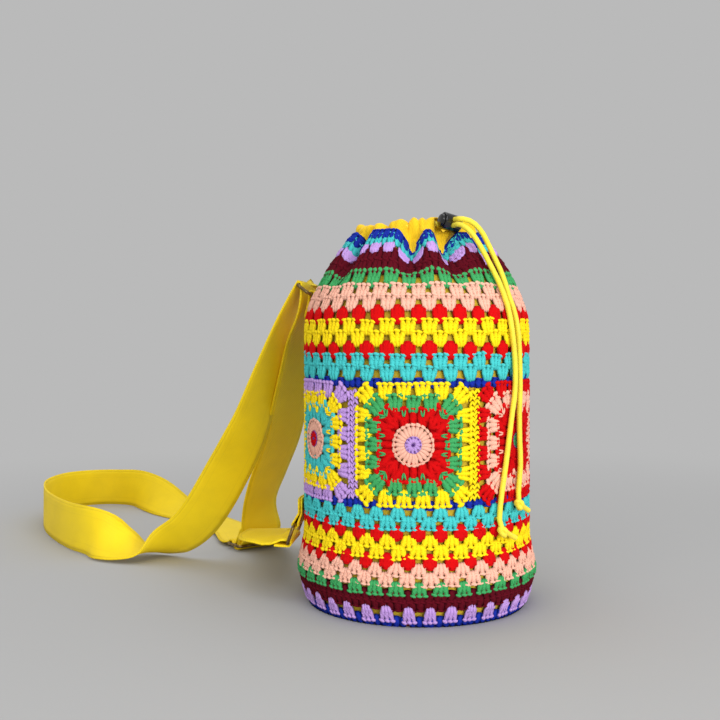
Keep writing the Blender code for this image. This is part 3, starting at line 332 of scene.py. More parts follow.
@dataclass(frozen=True)
class Cloth(Finish):
    """Plain woven cotton cloth, with its UV in metres."""

    THREADS = 260.0
    CLOUD = 60.0

    def paint(self, graph: Graph) -> None:
        """Add the weave and a soft unevenness."""
        along, up = graph.uv()
        weave = (along * self.THREADS).swing() * (up * self.THREADS).swing() * 0.5 + 0.5
        cloud = graph.noise(self.CLOUD)
        light = (weave * 0.3 + cloud * 0.9).smooth(0.1, 1.0)
        graph.colour(light, shade(self.colour, 0.72), shade(self.colour, 1.08))
        graph.bump(weave * 0.6 + cloud * 0.4, 0.0003, 0.5)
        graph.constants(roughness=0.8, sheen_weight=0.1)
        graph.specular(0.3)


@dataclass(frozen=True)
class Webbing(Finish):
    """Flat woven webbing: fine slanted ribs and a firm edge on both sides."""

    RIBS = 520.0
    CLOUD = 35.0

    def paint(self, graph: Graph) -> None:
        """Add two crossing ribs, the two edges and a faint line inside each."""
        across, along = graph.uv()
        centre = (across - 0.5).absolute() * 2.0
        rib = (across * (WEBBING_WIDTH * self.RIBS) + along * self.RIBS).wave()
        cross = (across * (WEBBING_WIDTH * self.RIBS * 2) - along * (self.RIBS / 2)).wave()
        weave = rib * 0.65 + cross * 0.35
        selvedge, line = centre.band(0.86, 0.94), centre.band(0.55, 0.61)
        cloud = graph.noise(self.CLOUD)
        light = (weave * 0.5 + cloud * 0.5 - selvedge * 0.35 - line * 0.12).smooth(-0.1, 0.8)
        graph.colour(light, shade(self.colour, 0.72), shade(self.colour, 1.04))
        graph.bump(weave - selvedge * 0.8, 0.0004, 0.7)
        graph.constants(roughness=0.62)
        graph.specular(0.35)


@dataclass(frozen=True)
class Braid(Finish):
    """Braided cord with a fine grain."""

    GRAIN = 1500.0
    CLOUD = 120.0

    def paint(self, graph: Graph) -> None:
        """Add the grain and a soft unevenness."""
        grain = graph.noise(self.GRAIN, 2.0, 0.5)
        cloud = graph.noise(self.CLOUD, 2.0)
        light = (grain * 0.6 + cloud * 0.5).smooth(0.1, 0.95)
        graph.colour(light, shade(self.colour, 0.72), shade(self.colour, 1.1))
        graph.bump(grain, 0.0004, 0.7)
        graph.constants(roughness=0.6, sheen_weight=0.1)


@dataclass(frozen=True)
class Metal(Finish):
    """Cast or drawn metal, cloudier where it is darkened.

    Attributes:
        patina: share of the colour in the darkened patches.
        roughness: mean roughness.
    """

    patina: float
    roughness: float
    CLOUD = 260.0

    def paint(self, graph: Graph) -> None:
        """Add worn and darkened patches."""
        cloud = graph.noise(self.CLOUD, 4.0, 0.65)
        worn = cloud.smooth(0.35, 0.68)
        graph.colour(worn, shade(self.colour, self.patina), self.colour)
        graph.feed(graph.shader.inputs["Roughness"], worn * -0.12 + (self.roughness + 0.06))
        graph.bump(cloud, 0.00015, 0.4)
        graph.constants(metallic=1.0)


@dataclass(frozen=True)
class Plastic(Finish):
    """Glossy moulded plastic."""

    WEAR = 700.0

    def paint(self, graph: Graph) -> None:
        """Add a slight wear and a clear coat."""
        wear = graph.noise(self.WEAR)
        graph.colour(wear, self.colour, shade(self.colour, 1.8))
        graph.feed(graph.shader.inputs["Roughness"], wear * 0.10 + 0.05)
        graph.constants(coat_weight=0.4, coat_roughness=0.08)


class Shade(Enum):
    """Yarn colours of the bag, as linear colours."""

    BLUE = (0.010, 0.028, 0.330)
    LILAC = (0.470, 0.285, 0.640)
    MAROON = (0.100, 0.003, 0.010)
    GREEN = (0.050, 0.330, 0.105)
    PINK = (0.800, 0.430, 0.320)
    RED = (0.560, 0.003, 0.004)
    YELLOW = (0.940, 0.670, 0.010)
    TURQUOISE = (0.060, 0.500, 0.500)
    VIOLET = (0.160, 0.060, 0.330)


class Finishes:
    """All materials of the object, each made once."""

    def __init__(self) -> None:
        """Make every finish."""
        self.yarns = {
            tint: Yarn(f"Yarn {tint.name.lower()}", tint.value).build() for tint in Shade
        }
        # Painted shade: the lining is given a darker colour than the casing's yellow cotton, for the
        # shade it lies in behind the crochet
        self.lining = Cloth("Lining cotton", (0.620, 0.420, 0.020)).build()
        self.casing = Cloth("Casing cotton", (0.880, 0.560, 0.006)).build()
        self.webbing = Webbing("Yellow webbing", (1.0, 0.700, 0.003)).build()
        self.cord = Braid("Yellow cord", (0.900, 0.740, 0.030)).build()
        self.brass = Metal("Antique brass", (0.420, 0.290, 0.120), 0.35, 0.34).build()
        self.steel = Metal("Spring steel", (0.600, 0.600, 0.600), 0.80, 0.24).build()
        self.plastic = Plastic("Black plastic", (0.004, 0.004, 0.004)).build()

    def yarn_list(self, tints: Iterable[Shade]) -> list[bpy.types.Material]:
        """Materials of several yarns, in order."""
        return [self.yarns[tint] for tint in tints]


def smooth_share(value: float, low: float, high: float) -> float:
    """0 below low, 1 above high, with a soft step between."""
    share = min(max((value - low) / (high - low), 0.0), 1.0)
    return share * share * (3 - 2 * share)


def polar(angle: float, radius: float, height: float) -> Vector:
    """Point at an angle round the bag, measured from the front towards +X."""
    return Vector((radius * math.sin(angle), -radius * math.cos(angle), height))


def outward(angle: float) -> Vector:
    """Direction away from the bag's middle at an angle."""
    return Vector((math.sin(angle), -math.cos(angle), 0.0))


def sideways(angle: float) -> Vector:
    """Direction round the bag at an angle."""
    return Vector((math.cos(angle), math.sin(angle), 0.0))


def angle_between(first: float, second: float) -> float:
    """Smaller angle between two directions."""
    return abs((first - second + math.pi) % (2 * math.pi) - math.pi)


def wall_radius(height: float) -> float:
    """Outer radius of the wall at a height, before it is gathered."""
    flare = (height - FOOT_FLARE_HEIGHT) / FOOT_FLARE_SPREAD
    radius = BODY_RADIUS + FOOT_FLARE * math.exp(-flare * flare)
    tuck = max(1 - height / FOOT_TUCK_HEIGHT, 0.0)
    radius -= FOOT_TUCK * tuck * tuck
    drawn_in = max((height - (WALL_TOP - SHOULDER_DROP)) / SHOULDER_DROP, 0.0)
    return radius - (BODY_RADIUS - NECK_RADIUS) * drawn_in**SHOULDER_POWER


def fold_share(angle: float) -> float:
    """1 in the crease of a gather, 0 on the rounded lobes between gathers."""
    nearest = min(angle_between(angle, math.radians(fold)) for fold in FOLD_ANGLES)
    return smooth_share(1 - nearest / FOLD_HALF_WIDTH, 0.0, 1.0)


def wall_point(angle: float, height: float, depth: float) -> Vector:
    """Point of the gathered wall, at a depth below its outer surface."""
    gathered = smooth_share(height, GATHER_START, WALL_TOP)
    crease = fold_share(angle)
    moved = LOBE_RISE * (1 - crease) - FOLD_DEPTH * crease
    radius = wall_radius(height) + gathered * moved - depth
    return polar(angle, radius, height - FOLD_DIP * gathered * crease)


def lock_press(angle: float) -> float:
    """1 behind the cord lock, which keeps the cloth and the rim smooth there."""
    return smooth_share(1 - angle_between(angle, LOCK_ANGLE) / PRESS_HALF_WIDTH, 0.0, PRESS_FULL)


def on_wall(across: float, height: float, out: float) -> Vector:
    """Surface of the wall: arc length from the front, height, and rise off it."""
    angle = across / BODY_RADIUS
    highest = WALL_TOP + RIM_RISE * (1 - lock_press(angle))
    pushed_in = min(out, RIM_BEHIND_LOCK * lock_press(angle) + 1 - lock_press(angle))
    return wall_point(angle, min(max(height, CLEARANCE), highest), -pushed_in)


def under_base(across: float, along: float, out: float) -> Vector:
    """Surface of the underside: two lengths in its plane, and the way down."""
    return Vector((across, -along, -out))


def jitter(*seed: float) -> float:
    """Steady unevenness, about -1 to 1, for three given numbers."""
    return noise.noise(Vector(seed)) * 2


class Form(Enum):
    """Kinds of stitch that the crocheted pieces repeat."""

    FAN = "fan"
    BOBBLE = "bobble"
    CLOSE = "close"
    RAY = "ray"
    LINK = "link"
    SPIKE = "spike"


class StitchKit:
    """Low-poly stitches: X runs across, Y up the stitch and Z away from the cloth."""

    HEIGHT = 0.0095
    # Levels between which a stitch's painted shade goes from its darkest, deep in the creases between
    # stitches, to its lightest, on top
    DEEPEST = -0.0042
    HIGHEST = -0.0004
    # Facets round and along a strand
    USUAL = (6, 4)
    FINE = (4, 3)
    BACKING = (8, 4)
    PUFFED = (10, 7)

    def __init__(self) -> None:
        """Make the mesh of each kind of stitch."""
        makers = {
            Form.FAN: self._fan,
            Form.BOBBLE: self._bobble,
            Form.CLOSE: self._close,
            Form.RAY: self._ray,
            Form.LINK: self._link,
            Form.SPIKE: self._spike,
        }
        self.meshes: dict[Form, bpy.types.Mesh] = {}
        for form, maker in makers.items():
            bm = bmesh.new()
            bm.loops.layers.uv.new("UVMap")
            layer = bm.verts.layers.float.new("shade")
            maker(bm)
            span = self.HIGHEST - self.DEEPEST
            # Painted shade: each point is stored darker the deeper it lies, for the shade in the
            # creases between stitches
            for vert in bm.verts:
                vert[layer] = min(max((vert.co.z - self.DEEPEST) / span, 0.0), 1.0)
            mesh = bpy.data.meshes.new(f"stitch_{form.value}")
            bm.to_mesh(mesh)
            bm.free()
            self.meshes[form] = mesh

    @staticmethod
    def strand(
        bm: bmesh.types.BMesh,
        centre: tuple[float, float, float],
        size: tuple[float, float, float],
        turn: float = 0.0,
        facets: tuple[int, int] = USUAL,
    ) -> None:
        """One rounded length of yarn.

        Args:
            bm: mesh to add it to.
            centre: its middle.
            size: its width, length and thickness.
            turn: degrees that its length leans to the left.
            facets: how many it has round and along it.
        """
        place = (
            Matrix.Translation(centre)
            @ Matrix.Rotation(math.radians(turn), 4, "Z")
            @ Matrix.Diagonal((*size, 1.0))
            @ Matrix.Rotation(math.radians(-90), 4, "X")
        )
        sides, rings = facets
        bmesh.ops.create_uvsphere(
            bm, u_segments=sides, v_segments=rings, radius=0.5, matrix=place, calc_uvs=True
        )

    def _fan(self, bm: bmesh.types.BMesh) -> None:
        """Three long stitches out of one gap, with the chain that closes each."""
        for step in (-1, 0, 1):
            lean = -15.0 * step
            self.strand(bm, (0.0032 * step, 0.0044, -0.0023), (0.0050, 0.0122, 0.0040), lean)
            for side, low in ((-1, 0.0034), (1, 0.0062)):
                place = (0.0034 * step + 0.0008 * side, low, -0.0011)
                self.strand(bm, place, (0.0015, 0.0040, 0.0019), lean + 44 * side, self.FINE)
            place = (0.0047 * step, 0.0096, -0.0016)
            self.strand(bm, place, (0.0028, 0.0054, 0.0030), 80 - 8 * step)

    def _bobble(self, bm: bmesh.types.BMesh) -> None:
        """Puffed cluster whose stitches have closed up into one rounded lump."""
        self.strand(bm, (0.0, 0.0047, -0.0025), (0.0132, 0.0128, 0.0048), 0.0, self.PUFFED)
        for step in (-1.5, -0.5, 0.5, 1.5):
            lift = -0.0012 - 0.0002 * abs(step)
            place = (0.0029 * step, 0.0048, lift)
            self.strand(bm, place, (0.0033, 0.0104 - 0.0007 * abs(step), 0.0024), -7.0 * step)
            place = (0.0028 * step, 0.0050, lift + 0.0006)
            self.strand(bm, place, (0.0012, 0.0040, 0.0015), 38.0 - 7.0 * step, self.FINE)
        self.strand(bm, (0.0, 0.0100, -0.0022), (0.0024, 0.0064, 0.0026), 90)

    def _close(self, bm: bmesh.types.BMesh) -> None:
        """Three stitches side by side with no gap, over a backing strand."""
        self.strand(bm, (0.0, 0.0046, -0.0034), (0.0200, 0.0120, 0.0016), 0.0, self.BACKING)
        for step in (-1, 0, 1):
            middle = 0.0058 * step
            self.strand(bm, (middle, 0.0044, -0.0024), (0.0064, 0.0116, 0.0032), 3.0)
            place = (middle + 0.0004, 0.0042, -0.0014)
            self.strand(bm, place, (0.0014, 0.0048, 0.0018), 40.0, self.FINE)
            self.strand(bm, (middle, 0.0092, -0.0018), (0.0026, 0.0066, 0.0026), 80.0)

    def _ray(self, bm: bmesh.types.BMesh) -> None:
        """One slim stitch of a round, closed by its chain."""
        self.strand(bm, (0.0, 0.0048, -0.0024), (0.0040, 0.0108, 0.0030))
        self.strand(bm, (0.0, 0.0093, -0.0019), (0.0024, 0.0044, 0.0026), 82.0)

    def _link(self, bm: bmesh.types.BMesh) -> None:
        """One V of a chain that runs up its piece, its right half on top."""
        for side, level in ((-1, -0.0020), (1, -0.0018)):
            place = (0.0011 * side, 0.0022, level)
            self.strand(bm, place, (0.0021, 0.0058, 0.0026), 24.0 * side)

    def _spike(self, bm: bmesh.types.BMesh) -> None:
        """Slim loop drawn down over the round before it."""
        for side in (-1, 1):
            place = (0.0009 * side, 0.0030, -0.0012)
            self.strand(bm, place, (0.0016, 0.0072, 0.0020), 10.0 * side)


@dataclass(frozen=True)
class Stitch:
    """One stitch or cluster on a surface.

    Attributes:
        form: its kind.
        tint: colour of its yarn.
        across: place along the surface's first length.
        height: place along its second length, at the stitch's foot.
        turn: degrees that the stitch is turned to the left from pointing up.
        wide: width against the form's own.
        tall: length against the form's own.
        lift: rise off the surface.
    """

    form: Form
    tint: Shade
    across: float
    height: float
    turn: float = 0.0
    wide: float = 1.0
    tall: float = 1.0
    lift: float = 0.0


@dataclass
class CrochetPiece:
    """A crocheted piece as a list of stitches laid on a surface.

    Attributes:
        name: name of the object.
        node: CAD node that it stands for.
        surface: maps two lengths and a rise to a point.
        kit: the stitches' shapes.
        stitches: what is worked so far.
    """

    name: str
    node: str
    surface: Surface
    kit: StitchKit
    stitches: list[Stitch] = field(default_factory=list)
    # Reach of the hand's unevenness, and how fast it changes round and up the wall
    SWAY = 0.0006
    RISE = 0.0004
    LEAN = 5.0
    WIDER = 0.07
    TALLER = 0.06
    LIFT = 0.00015
    GRAIN = (90.0, 400.0)

    def round_of(self, count: int, start: float, usual: Stitch) -> None:
        """A full round of the wall, with a little of the hand in it.

        Args:
            count: stitches in the round.
            start: arc length at which its first one stands.
            usual: the stitch to repeat.
        """
        for number in range(count):
            across = start + number * 2 * math.pi * BODY_RADIUS / count
            seed = (across * self.GRAIN[0], usual.height * self.GRAIN[1])
            hand, other = jitter(*seed, 1.7), jitter(*seed, 8.3)
            self.stitches.append(
                replace(
                    usual,
                    across=across + self.SWAY * hand,
                    height=usual.height + self.RISE * other,
                    turn=usual.turn + self.LEAN * hand,
                    wide=usual.wide * (1 + self.WIDER * other),
                    tall=usual.tall * (1 + self.TALLER * hand),
                    lift=usual.lift + self.LIFT * other,
                )
            )

    def build(self, finishes: Finishes) -> bpy.types.Object:
        """Work all the stitches into one mesh and put it in place of its CAD node.

        Args:
            finishes: materials of the yarns.

        Returns:
            The new object.
        """
        tints = sorted({stitch.tint for stitch in self.stitches}, key=lambda tint: tint.name)
        bm = bmesh.new()
        for stitch in self.stitches:
            bm.from_mesh(self.kit.meshes[stitch.form])
        verts, faces = iter(bm.verts), iter(bm.faces)
        for stitch in self.stitches:
            template = self.kit.meshes[stitch.form]
            slot = tints.index(stitch.tint)
            turn = math.radians(stitch.turn)
            cosine, sine = math.cos(turn), math.sin(turn)
            for _ in range(len(template.vertices)):
                vert = next(verts)
                x, y, z = vert.co
                x, y = x * stitch.wide, y * stitch.tall
                vert.co = self.surface(
                    stitch.across + x * cosine - y * sine,
                    stitch.height + x * sine + y * cosine,
                    z + stitch.lift,
                )
            for _ in range(len(template.polygons)):
                face = next(faces)
                face.material_index = slot
                face.smooth = True
        return place_mesh(self.name, bm, finishes.yarn_list(tints), self.node)


def place_mesh(
    name: str,
    bm: bmesh.types.BMesh,
    materials: Sequence[bpy.types.Material],
    *nodes: str,
    body: str = "bag",
) -> bpy.types.Object:
    """Turn mesh work into a piece of the object.

    Args:
        name: name of the object.
        bm: finished mesh work, in place; it is freed.
        materials: finishes in the order of its material indices.
        nodes: CAD nodes that the piece stands for.
        body: CAD body that it rides on.

    Returns:
        The new object.
    """
    mesh = bpy.data.meshes.new(name)
    bm.to_mesh(mesh)
    bm.free()
    for material in materials:
        mesh.materials.append(material)
    made = bpy.data.objects.new(name, mesh)
    bpy.context.collection.objects.link(made)
    return place_piece(made, *nodes, body=body)


def place_piece(made: bpy.types.Object, *nodes: str, body: str = "bag") -> bpy.types.Object:
    """Let a finished object ride on its body and stand for its CAD nodes."""
    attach(made, body)
    if nodes:
        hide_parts(*nodes)
    LOG.info("%s for %s on %s", made.name, ", ".join(nodes) or "no node", body)
    return made


@dataclass(frozen=True)
class Row:
    """One round of the wall.

    Attributes:
        tint: colour of its yarn.
        height: height of the round.
        form: kind of stitch.
        wide: width of its clusters against the usual one.
        tall: length of its stitches against the round's height.
        lift: rise off the wall.
    """

    tint: Shade
    height: float
    form: Form = Form.FAN
    wide: float = 1.0
    tall: float = 1.12
    lift: float = 0.0


LOWER_ROWS = (
    Row(Shade.BLUE, 0.0080, Form.CLOSE, 1.05, 1.25),
    Row(Shade.LILAC, 0.0080, Form.FAN, 0.90, 1.45, 0.0006),
    Row(Shade.MAROON, 0.0070, Form.CLOSE, 1.05, 1.30),
    Row(Shade.MAROON, 0.0070, Form.CLOSE, 1.05, 1.30),
    Row(Shade.GREEN, 0.0065, Form.FAN, 1.02, 1.45, 0.0003),
    Row(Shade.PINK, 0.0070, Form.FAN, 1.12, 1.32),
    Row(Shade.PINK, 0.0070, Form.FAN, 1.12, 1.32),
    Row(Shade.RED, 0.0070, Form.BOBBLE, 0.95, 1.42),
    Row(Shade.YELLOW, 0.0075, Form.FAN, 1.14, 1.28),
    Row(Shade.YELLOW, 0.0075, Form.FAN, 1.14, 1.28),
    Row(Shade.RED, 0.0075, Form.BOBBLE, 0.98, 1.40),
    Row(Shade.TURQUOISE, 0.0075, Form.FAN, 1.12, 1.28),
    Row(Shade.TURQUOISE, 0.0075, Form.FAN, 1.12, 1.28),
    Row(Shade.BLUE, 0.0050, Form.CLOSE, 1.05, 1.25, -0.0008),
)
UPPER_ROWS = (
    Row(Shade.BLUE, 0.0060, Form.CLOSE, 1.05, 1.2, -0.0008),
    Row(Shade.TURQUOISE, 0.0090, Form.FAN, 1.10, 1.26),
    Row(Shade.TURQUOISE, 0.0090, Form.FAN, 1.10, 1.26),
    Row(Shade.RED, 0.0095, Form.BOBBLE, 1.02, 1.24),
    Row(Shade.YELLOW, 0.0095, Form.FAN, 1.12, 1.22),
    Row(Shade.YELLOW, 0.0095, Form.FAN, 1.12, 1.22),
    Row(Shade.RED, 0.0100, Form.BOBBLE, 1.02, 1.22),
    Row(Shade.PINK, 0.0095, Form.FAN, 1.14, 1.24),
    Row(Shade.PINK, 0.0095, Form.FAN, 1.18, 1.24),
    Row(Shade.GREEN, 0.0115, Form.FAN, 1.16, 1.22),
    Row(Shade.MAROON, 0.0090, Form.CLOSE, 1.12, 1.34, 0.0004),
    Row(Shade.MAROON, 0.0090, Form.CLOSE, 1.16, 1.36, 0.0004),
    Row(Shade.LILAC, 0.0070, Form.BOBBLE, 1.20, 1.25, 0.0004),
    Row(Shade.TURQUOISE, 0.0055, Form.CLOSE, 1.20, 1.75, 0.0010),
    Row(Shade.BLUE, 0.0055, Form.CLOSE, 1.20, 1.45, 0.0018),
)


@dataclass(frozen=True)
class Wall:
    """One of the two bands of rounds, below and above the squares.

    Attributes:
        name: name of the object.
        node: CAD node that it stands for.
        rows: its rounds from the bottom up.
        bottom: height of its lower edge.
        upwards: True where its rounds are worked upwards.
    """

    name: str
    node: str
    rows: Sequence[Row]
    bottom: float
    upwards: bool

    def build(self, kit: StitchKit, finishes: Finishes) -> bpy.types.Object:
        """Work the band round by round, every second one shifted by half a cluster."""
        piece = CrochetPiece(self.name, self.node, on_wall, kit)
        turn = 0.0 if self.upwards else 180.0
        base = self.bottom
        for number, row in enumerate(self.rows):
            start = SQUARE_TURN * BODY_RADIUS + (PITCH / 2 if number % 2 else 0.0)
            foot = base if self.upwards else base + row.height
            tall = row.tall * row.height / kit.HEIGHT
            usual = Stitch(row.form, row.tint, 0.0, foot, turn, row.wide, tall, row.lift)
            piece.round_of(CLUSTERS_ROUND, start, usual)
            base += row.height
        return piece.build(finishes)


@dataclass(frozen=True)
class SquareColours:
    """Colours of one granny square from its middle outwards.

    Attributes:
        disc: its small middle.
        petals: round of slim stitches.
        solid: close round.
        inner: first open round.
        outer: last round, and the seam.
    """

    disc: Shade
    petals: Shade
    solid: Shade
    inner: Shade
    outer: Shade


SQUARES = (
    SquareColours(Shade.LILAC, Shade.PINK, Shade.RED, Shade.GREEN, Shade.YELLOW),
    SquareColours(Shade.GREEN, Shade.RED, Shade.RED, Shade.PINK, Shade.RED),
    SquareColours(Shade.YELLOW, Shade.TURQUOISE, Shade.MAROON, Shade.PINK, Shade.BLUE),
    SquareColours(Shade.PINK, Shade.LILAC, Shade.BLUE, Shade.YELLOW, Shade.GREEN),
    SquareColours(Shade.TURQUOISE, Shade.YELLOW, Shade.GREEN, Shade.LILAC, Shade.MAROON),
    SquareColours(Shade.RED, Shade.PINK, Shade.TURQUOISE, Shade.YELLOW, Shade.LILAC),
)


@dataclass(frozen=True)
class GrannySquare:
    """A granny square worked in five rounds, with a chain seam up its right side.

    Attributes:
        index: place round the bag, from the front.
        colours: its yarns.
    """

    index: int
    colours: SquareColours
    # Outer edges of its rounds, from its middle
    DISC = 0.0062
    PETALS = 0.0166
    SOLID = 0.0277
    INNER = 0.0376
    OUTER = 0.0470
    OVERLAP = 0.001
    SEAM_SHIFT = -0.0045
    SEAM_COLUMNS = (0.0500, 0.0545)
    SEAM_STEP = 0.0042
    SPIKES = (-0.0225, -0.0075, 0.0075, 0.0225)
    # Clusters of the square rounds against the usual ones
    STRETCH = 1.06
    SIDE_CLUSTER = 1.08
    CORNER_CLUSTER = 1.25
    CORNER_INSET = 0.93
    CORNER_SPREAD = 38
    CLOSEST = PITCH * 0.84
    HAND = 0.0003
    HAND_TURN = 4
    HAND_SIZE = 0.05

    def build(self, kit: StitchKit, finishes: Finishes) -> bpy.types.Object:
        """Work the square from its middle outwards."""
        number = self.index + 1
        piece = CrochetPiece(f"Granny_{number}", f"granny_square_{number}", on_wall, kit)
        self._disc(piece)
        colours, lap = self.colours, self.OVERLAP
        self._square_round(piece, Form.CLOSE, colours.solid, self.PETALS - 2 * lap, self.SOLID, 3)
        self._square_round(piece, Form.FAN, colours.inner, self.SOLID - lap, self.INNER, 3)
        self._spikes(piece)
        self._square_round(piece, Form.FAN, colours.outer, self.INNER - lap, self.OUTER, 4)
        self._seam(piece)
        return piece.build(finishes)

    def _put(self, piece: CrochetPiece, form: Form, tint: Shade, place: Point2, turn: float,
             wide: float, tall: float, lift: float = 0.0) -> None:
        """One stitch at a place measured from the square's middle."""
        sector = self.index * 2 * math.pi / SQUARES_ROUND
        centre = (SQUARE_TURN + sector) * BODY_RADIUS + self.SEAM_SHIFT
        middle = SQUARE_BOTTOM + SQUARE_HEIGHT / 2
        hand = jitter(place[0] * 500 + self.index * 9.0, place[1] * 500, 3.1)
        size = 1 + self.HAND_SIZE * hand
        piece.stitches.append(
            Stitch(
                form, tint, centre + place[0] + self.HAND * hand, middle + place[1] + self.HAND * hand,
                turn + self.HAND_TURN * hand, wide * size, tall * size, lift,
            )
        )

    def _ring(self, piece: CrochetPiece, form: Form, tint: Shade, count: int, inner: float,
              outer: float, wide: float, lift: float = 0.0, start: float = 0.0) -> None:
        """A circle of stitches that point outwards."""
        for number in range(count):
            turn = start + 2 * math.pi * number / count
            place = (-inner * math.sin(turn), inner * math.cos(turn))
            tall = (outer - inner) / StitchKit.HEIGHT
            self._put(piece, form, tint, place, math.degrees(turn), wide, tall, lift)

    def _disc(self, piece: CrochetPiece) -> None:
        """Middle: a small disc, its ring and a round of slim petals."""
        disc, petals, colours = self.DISC, self.PETALS, self.colours
        self._ring(piece, Form.RAY, colours.disc, 12, 0.0010, disc, 0.85, 0.0002)
        self._ring(piece, Form.RAY, colours.petals, 24, disc - 0.0008, petals, 1.12)
        self._ring(piece, Form.LINK, Shade.VIOLET, 14, disc - 0.0008, disc + 0.0024, 0.9, -0.0001)
        self._ring(
            piece, Form.LINK, colours.petals, 24, petals - 0.0018, petals + 0.0020, 1.3, 0.0004, 0.13
        )
        self._ring(piece, Form.LINK, Shade.VIOLET, 3, 0.0, 0.0022, 0.5, 0.0002)

    @staticmethod
    def _on_side(side: int, along: float, out: float) -> Point2:
        """Place along one of the four sides, at a distance from the middle."""
        turn = side * math.pi / 2
        cosine, sine = math.cos(turn), math.sin(turn)
        return along * cosine - out * sine, along * sine + out * cosine

    def _square_round(self, piece: CrochetPiece, form: Form, tint: Shade, inner: float,
                      outer: float, per_side: int) -> None:
        """Clusters along the four sides, and a fan at each corner."""
        tall = (outer - inner) / StitchKit.HEIGHT * self.STRETCH
        spacing = max(2 * inner / (per_side + 0.75), self.CLOSEST)
        corner = inner * self.CORNER_INSET
        big, usual = self.CORNER_CLUSTER, self.SIDE_CLUSTER
        for side in range(4):
            turn = 90.0 * side
            for number in range(per_side):
                along = (number - (per_side - 1) / 2) * spacing
                place = self._on_side(side, along, inner)
                self._put(piece, form, tint, place, turn, usual, tall * usual)
            place = self._on_side(side, -corner, corner)
            self._put(piece, form, tint, place, turn + 45, big, tall * big, 0.0002)
            for lean in (-self.CORNER_SPREAD, self.CORNER_SPREAD):
                self._put(piece, Form.RAY, tint, place, turn + 45 + lean, 1.0, tall)

    def _spikes(self, piece: CrochetPiece) -> None:
        """Slim loops of the fourth round drawn down over the solid one."""
        for side in range(4):
            for along in self.SPIKES:
                place = self._on_side(side, along, self.SOLID)
                turn = 90.0 * side + 180
                self._put(piece, Form.SPIKE, self.colours.inner, place, turn, 1.0, 0.85, 0.0006)

    def _seam(self, piece: CrochetPiece) -> None:
        """Chain columns that join the square to the next one."""
        step = self.SEAM_STEP
        for column, place in enumerate(self.SEAM_COLUMNS):
            for number in range(int(SQUARE_HEIGHT / step)):
                level = -SQUARE_HEIGHT / 2 + (number + 0.3 * column) * step
                self._put(piece, Form.LINK, self.colours.outer, (place, level), 0.0, 1.15, 1.0)


class Base:
    """Round crocheted base in close rounds, seen only from below."""

    RADIUS = 0.0905
    ROUNDS = 9
    LIFT = 0.0004

    def build(self, kit: StitchKit, finishes: Finishes) -> bpy.types.Object:
        """Work rounds of close stitches from the middle out, the last one red."""
        piece = CrochetPiece("Crochet_rounds_base", "crochet_base", under_base, kit)
        pitch = self.RADIUS / self.ROUNDS
        for number in range(self.ROUNDS):
            inner = number * pitch
            count = max(int(round(2 * math.pi * (inner + pitch) / PITCH)), 4)
            wide = 2 * math.pi * (inner + pitch * 0.7) / count / PITCH * 1.05
            tint = Shade.RED if number == self.ROUNDS - 1 else Shade.PINK
            for place in range(count):
                turn = 2 * math.pi * (place + 0.5 * (number % 2)) / count
                piece.stitches.append(
                    Stitch(
                        Form.CLOSE, tint, -inner * math.sin(turn), inner * math.cos(turn),
                        math.degrees(turn), wide, pitch / kit.HEIGHT, self.LIFT,
                    )
                )
        return piece.build(finishes)


def sheet_of(
    columns: int,
    rows: int,
    place: Callable[[float, float], Vector],
    spread: Point2,
    closed: bool = False,
) -> bmesh.types.BMesh:
    """A grid of cloth moved into place.

    Args:
        columns: faces across.
        rows: faces along.
        place: maps shares across and along to a point.
        spread: size of the cloth in its UV, in metres.
        closed: True where its two sides meet.

    Returns:
        The mesh work.
    """
    bm = bmesh.new()
    bmesh.ops.create_grid(bm, x_segments=columns, y_segments=rows, size=0.5)
    layer = bm.loops.layers.uv.new("UVMap")
    for face in bm.faces:
        face.smooth = True
        for loop in face.loops:
            x, y, _ = loop.vert.co
            loop[layer].uv = ((x + 0.5) * spread[0], (y + 0.5) * spread[1])
    for vert in bm.verts:
        vert.co = place(vert.co.x + 0.5, vert.co.y + 0.5)
    if closed:
        bmesh.ops.remove_doubles(bm, verts=bm.verts, dist=1e-6)
    bmesh.ops.recalc_face_normals(bm, faces=bm.faces)
    return bm


def thicken(made: bpy.types.Object, thickness: float) -> None:
    """Give a sheet its thickness, half of it on each side."""
    wall = made.modifiers.new("Thickness", "SOLIDIFY")
    wall.thickness = thickness
    wall.offset = 0.0


def catmull(before: Vector, start: Vector, end: Vector, after: Vector, share: float) -> Vector:
    """Point of a smooth curve between start and end."""
    square, cube = share * share, share**3
    return 0.5 * (
        2 * start
        + (end - before) * share
        + (2 * before - 5 * start + 4 * end - after) * square
        + (3 * start - before - 3 * end + after) * cube
    )


def even_points(points: Sequence[Vector], step: float, parts: int = 12) -> list[Vector]:
    """Points at even steps along a smooth curve through the given ones.

    Args:
        points: what the curve goes through.
        step: length of the steps, about.
        parts: pieces of curve between two of the points.

    Returns:
        The points, with both ends.
    """
    curve = []
    for index in range(len(points) - 1):
        before, after = points[max(index - 1, 0)], points[min(index + 2, len(points) - 1)]
        for part in range(parts):
            curve.append(catmull(before, points[index], points[index + 1], after, part / parts))
    curve.append(points[-1].copy())
    lengths = [0.0]
    for first, second in zip(curve, curve[1:]):
        lengths.append(lengths[-1] + (second - first).length)
    count = max(int(round(lengths[-1] / step)), 2)
    out = []
    for number in range(count + 1):
        wanted = lengths[-1] * number / count
        place = next(i for i in range(1, len(lengths)) if lengths[i] >= wanted - 1e-9)
        share = (wanted - lengths[place - 1]) / (lengths[place] - lengths[place - 1])
        out.append(curve[place - 1].lerp(curve[place], share))
    return out


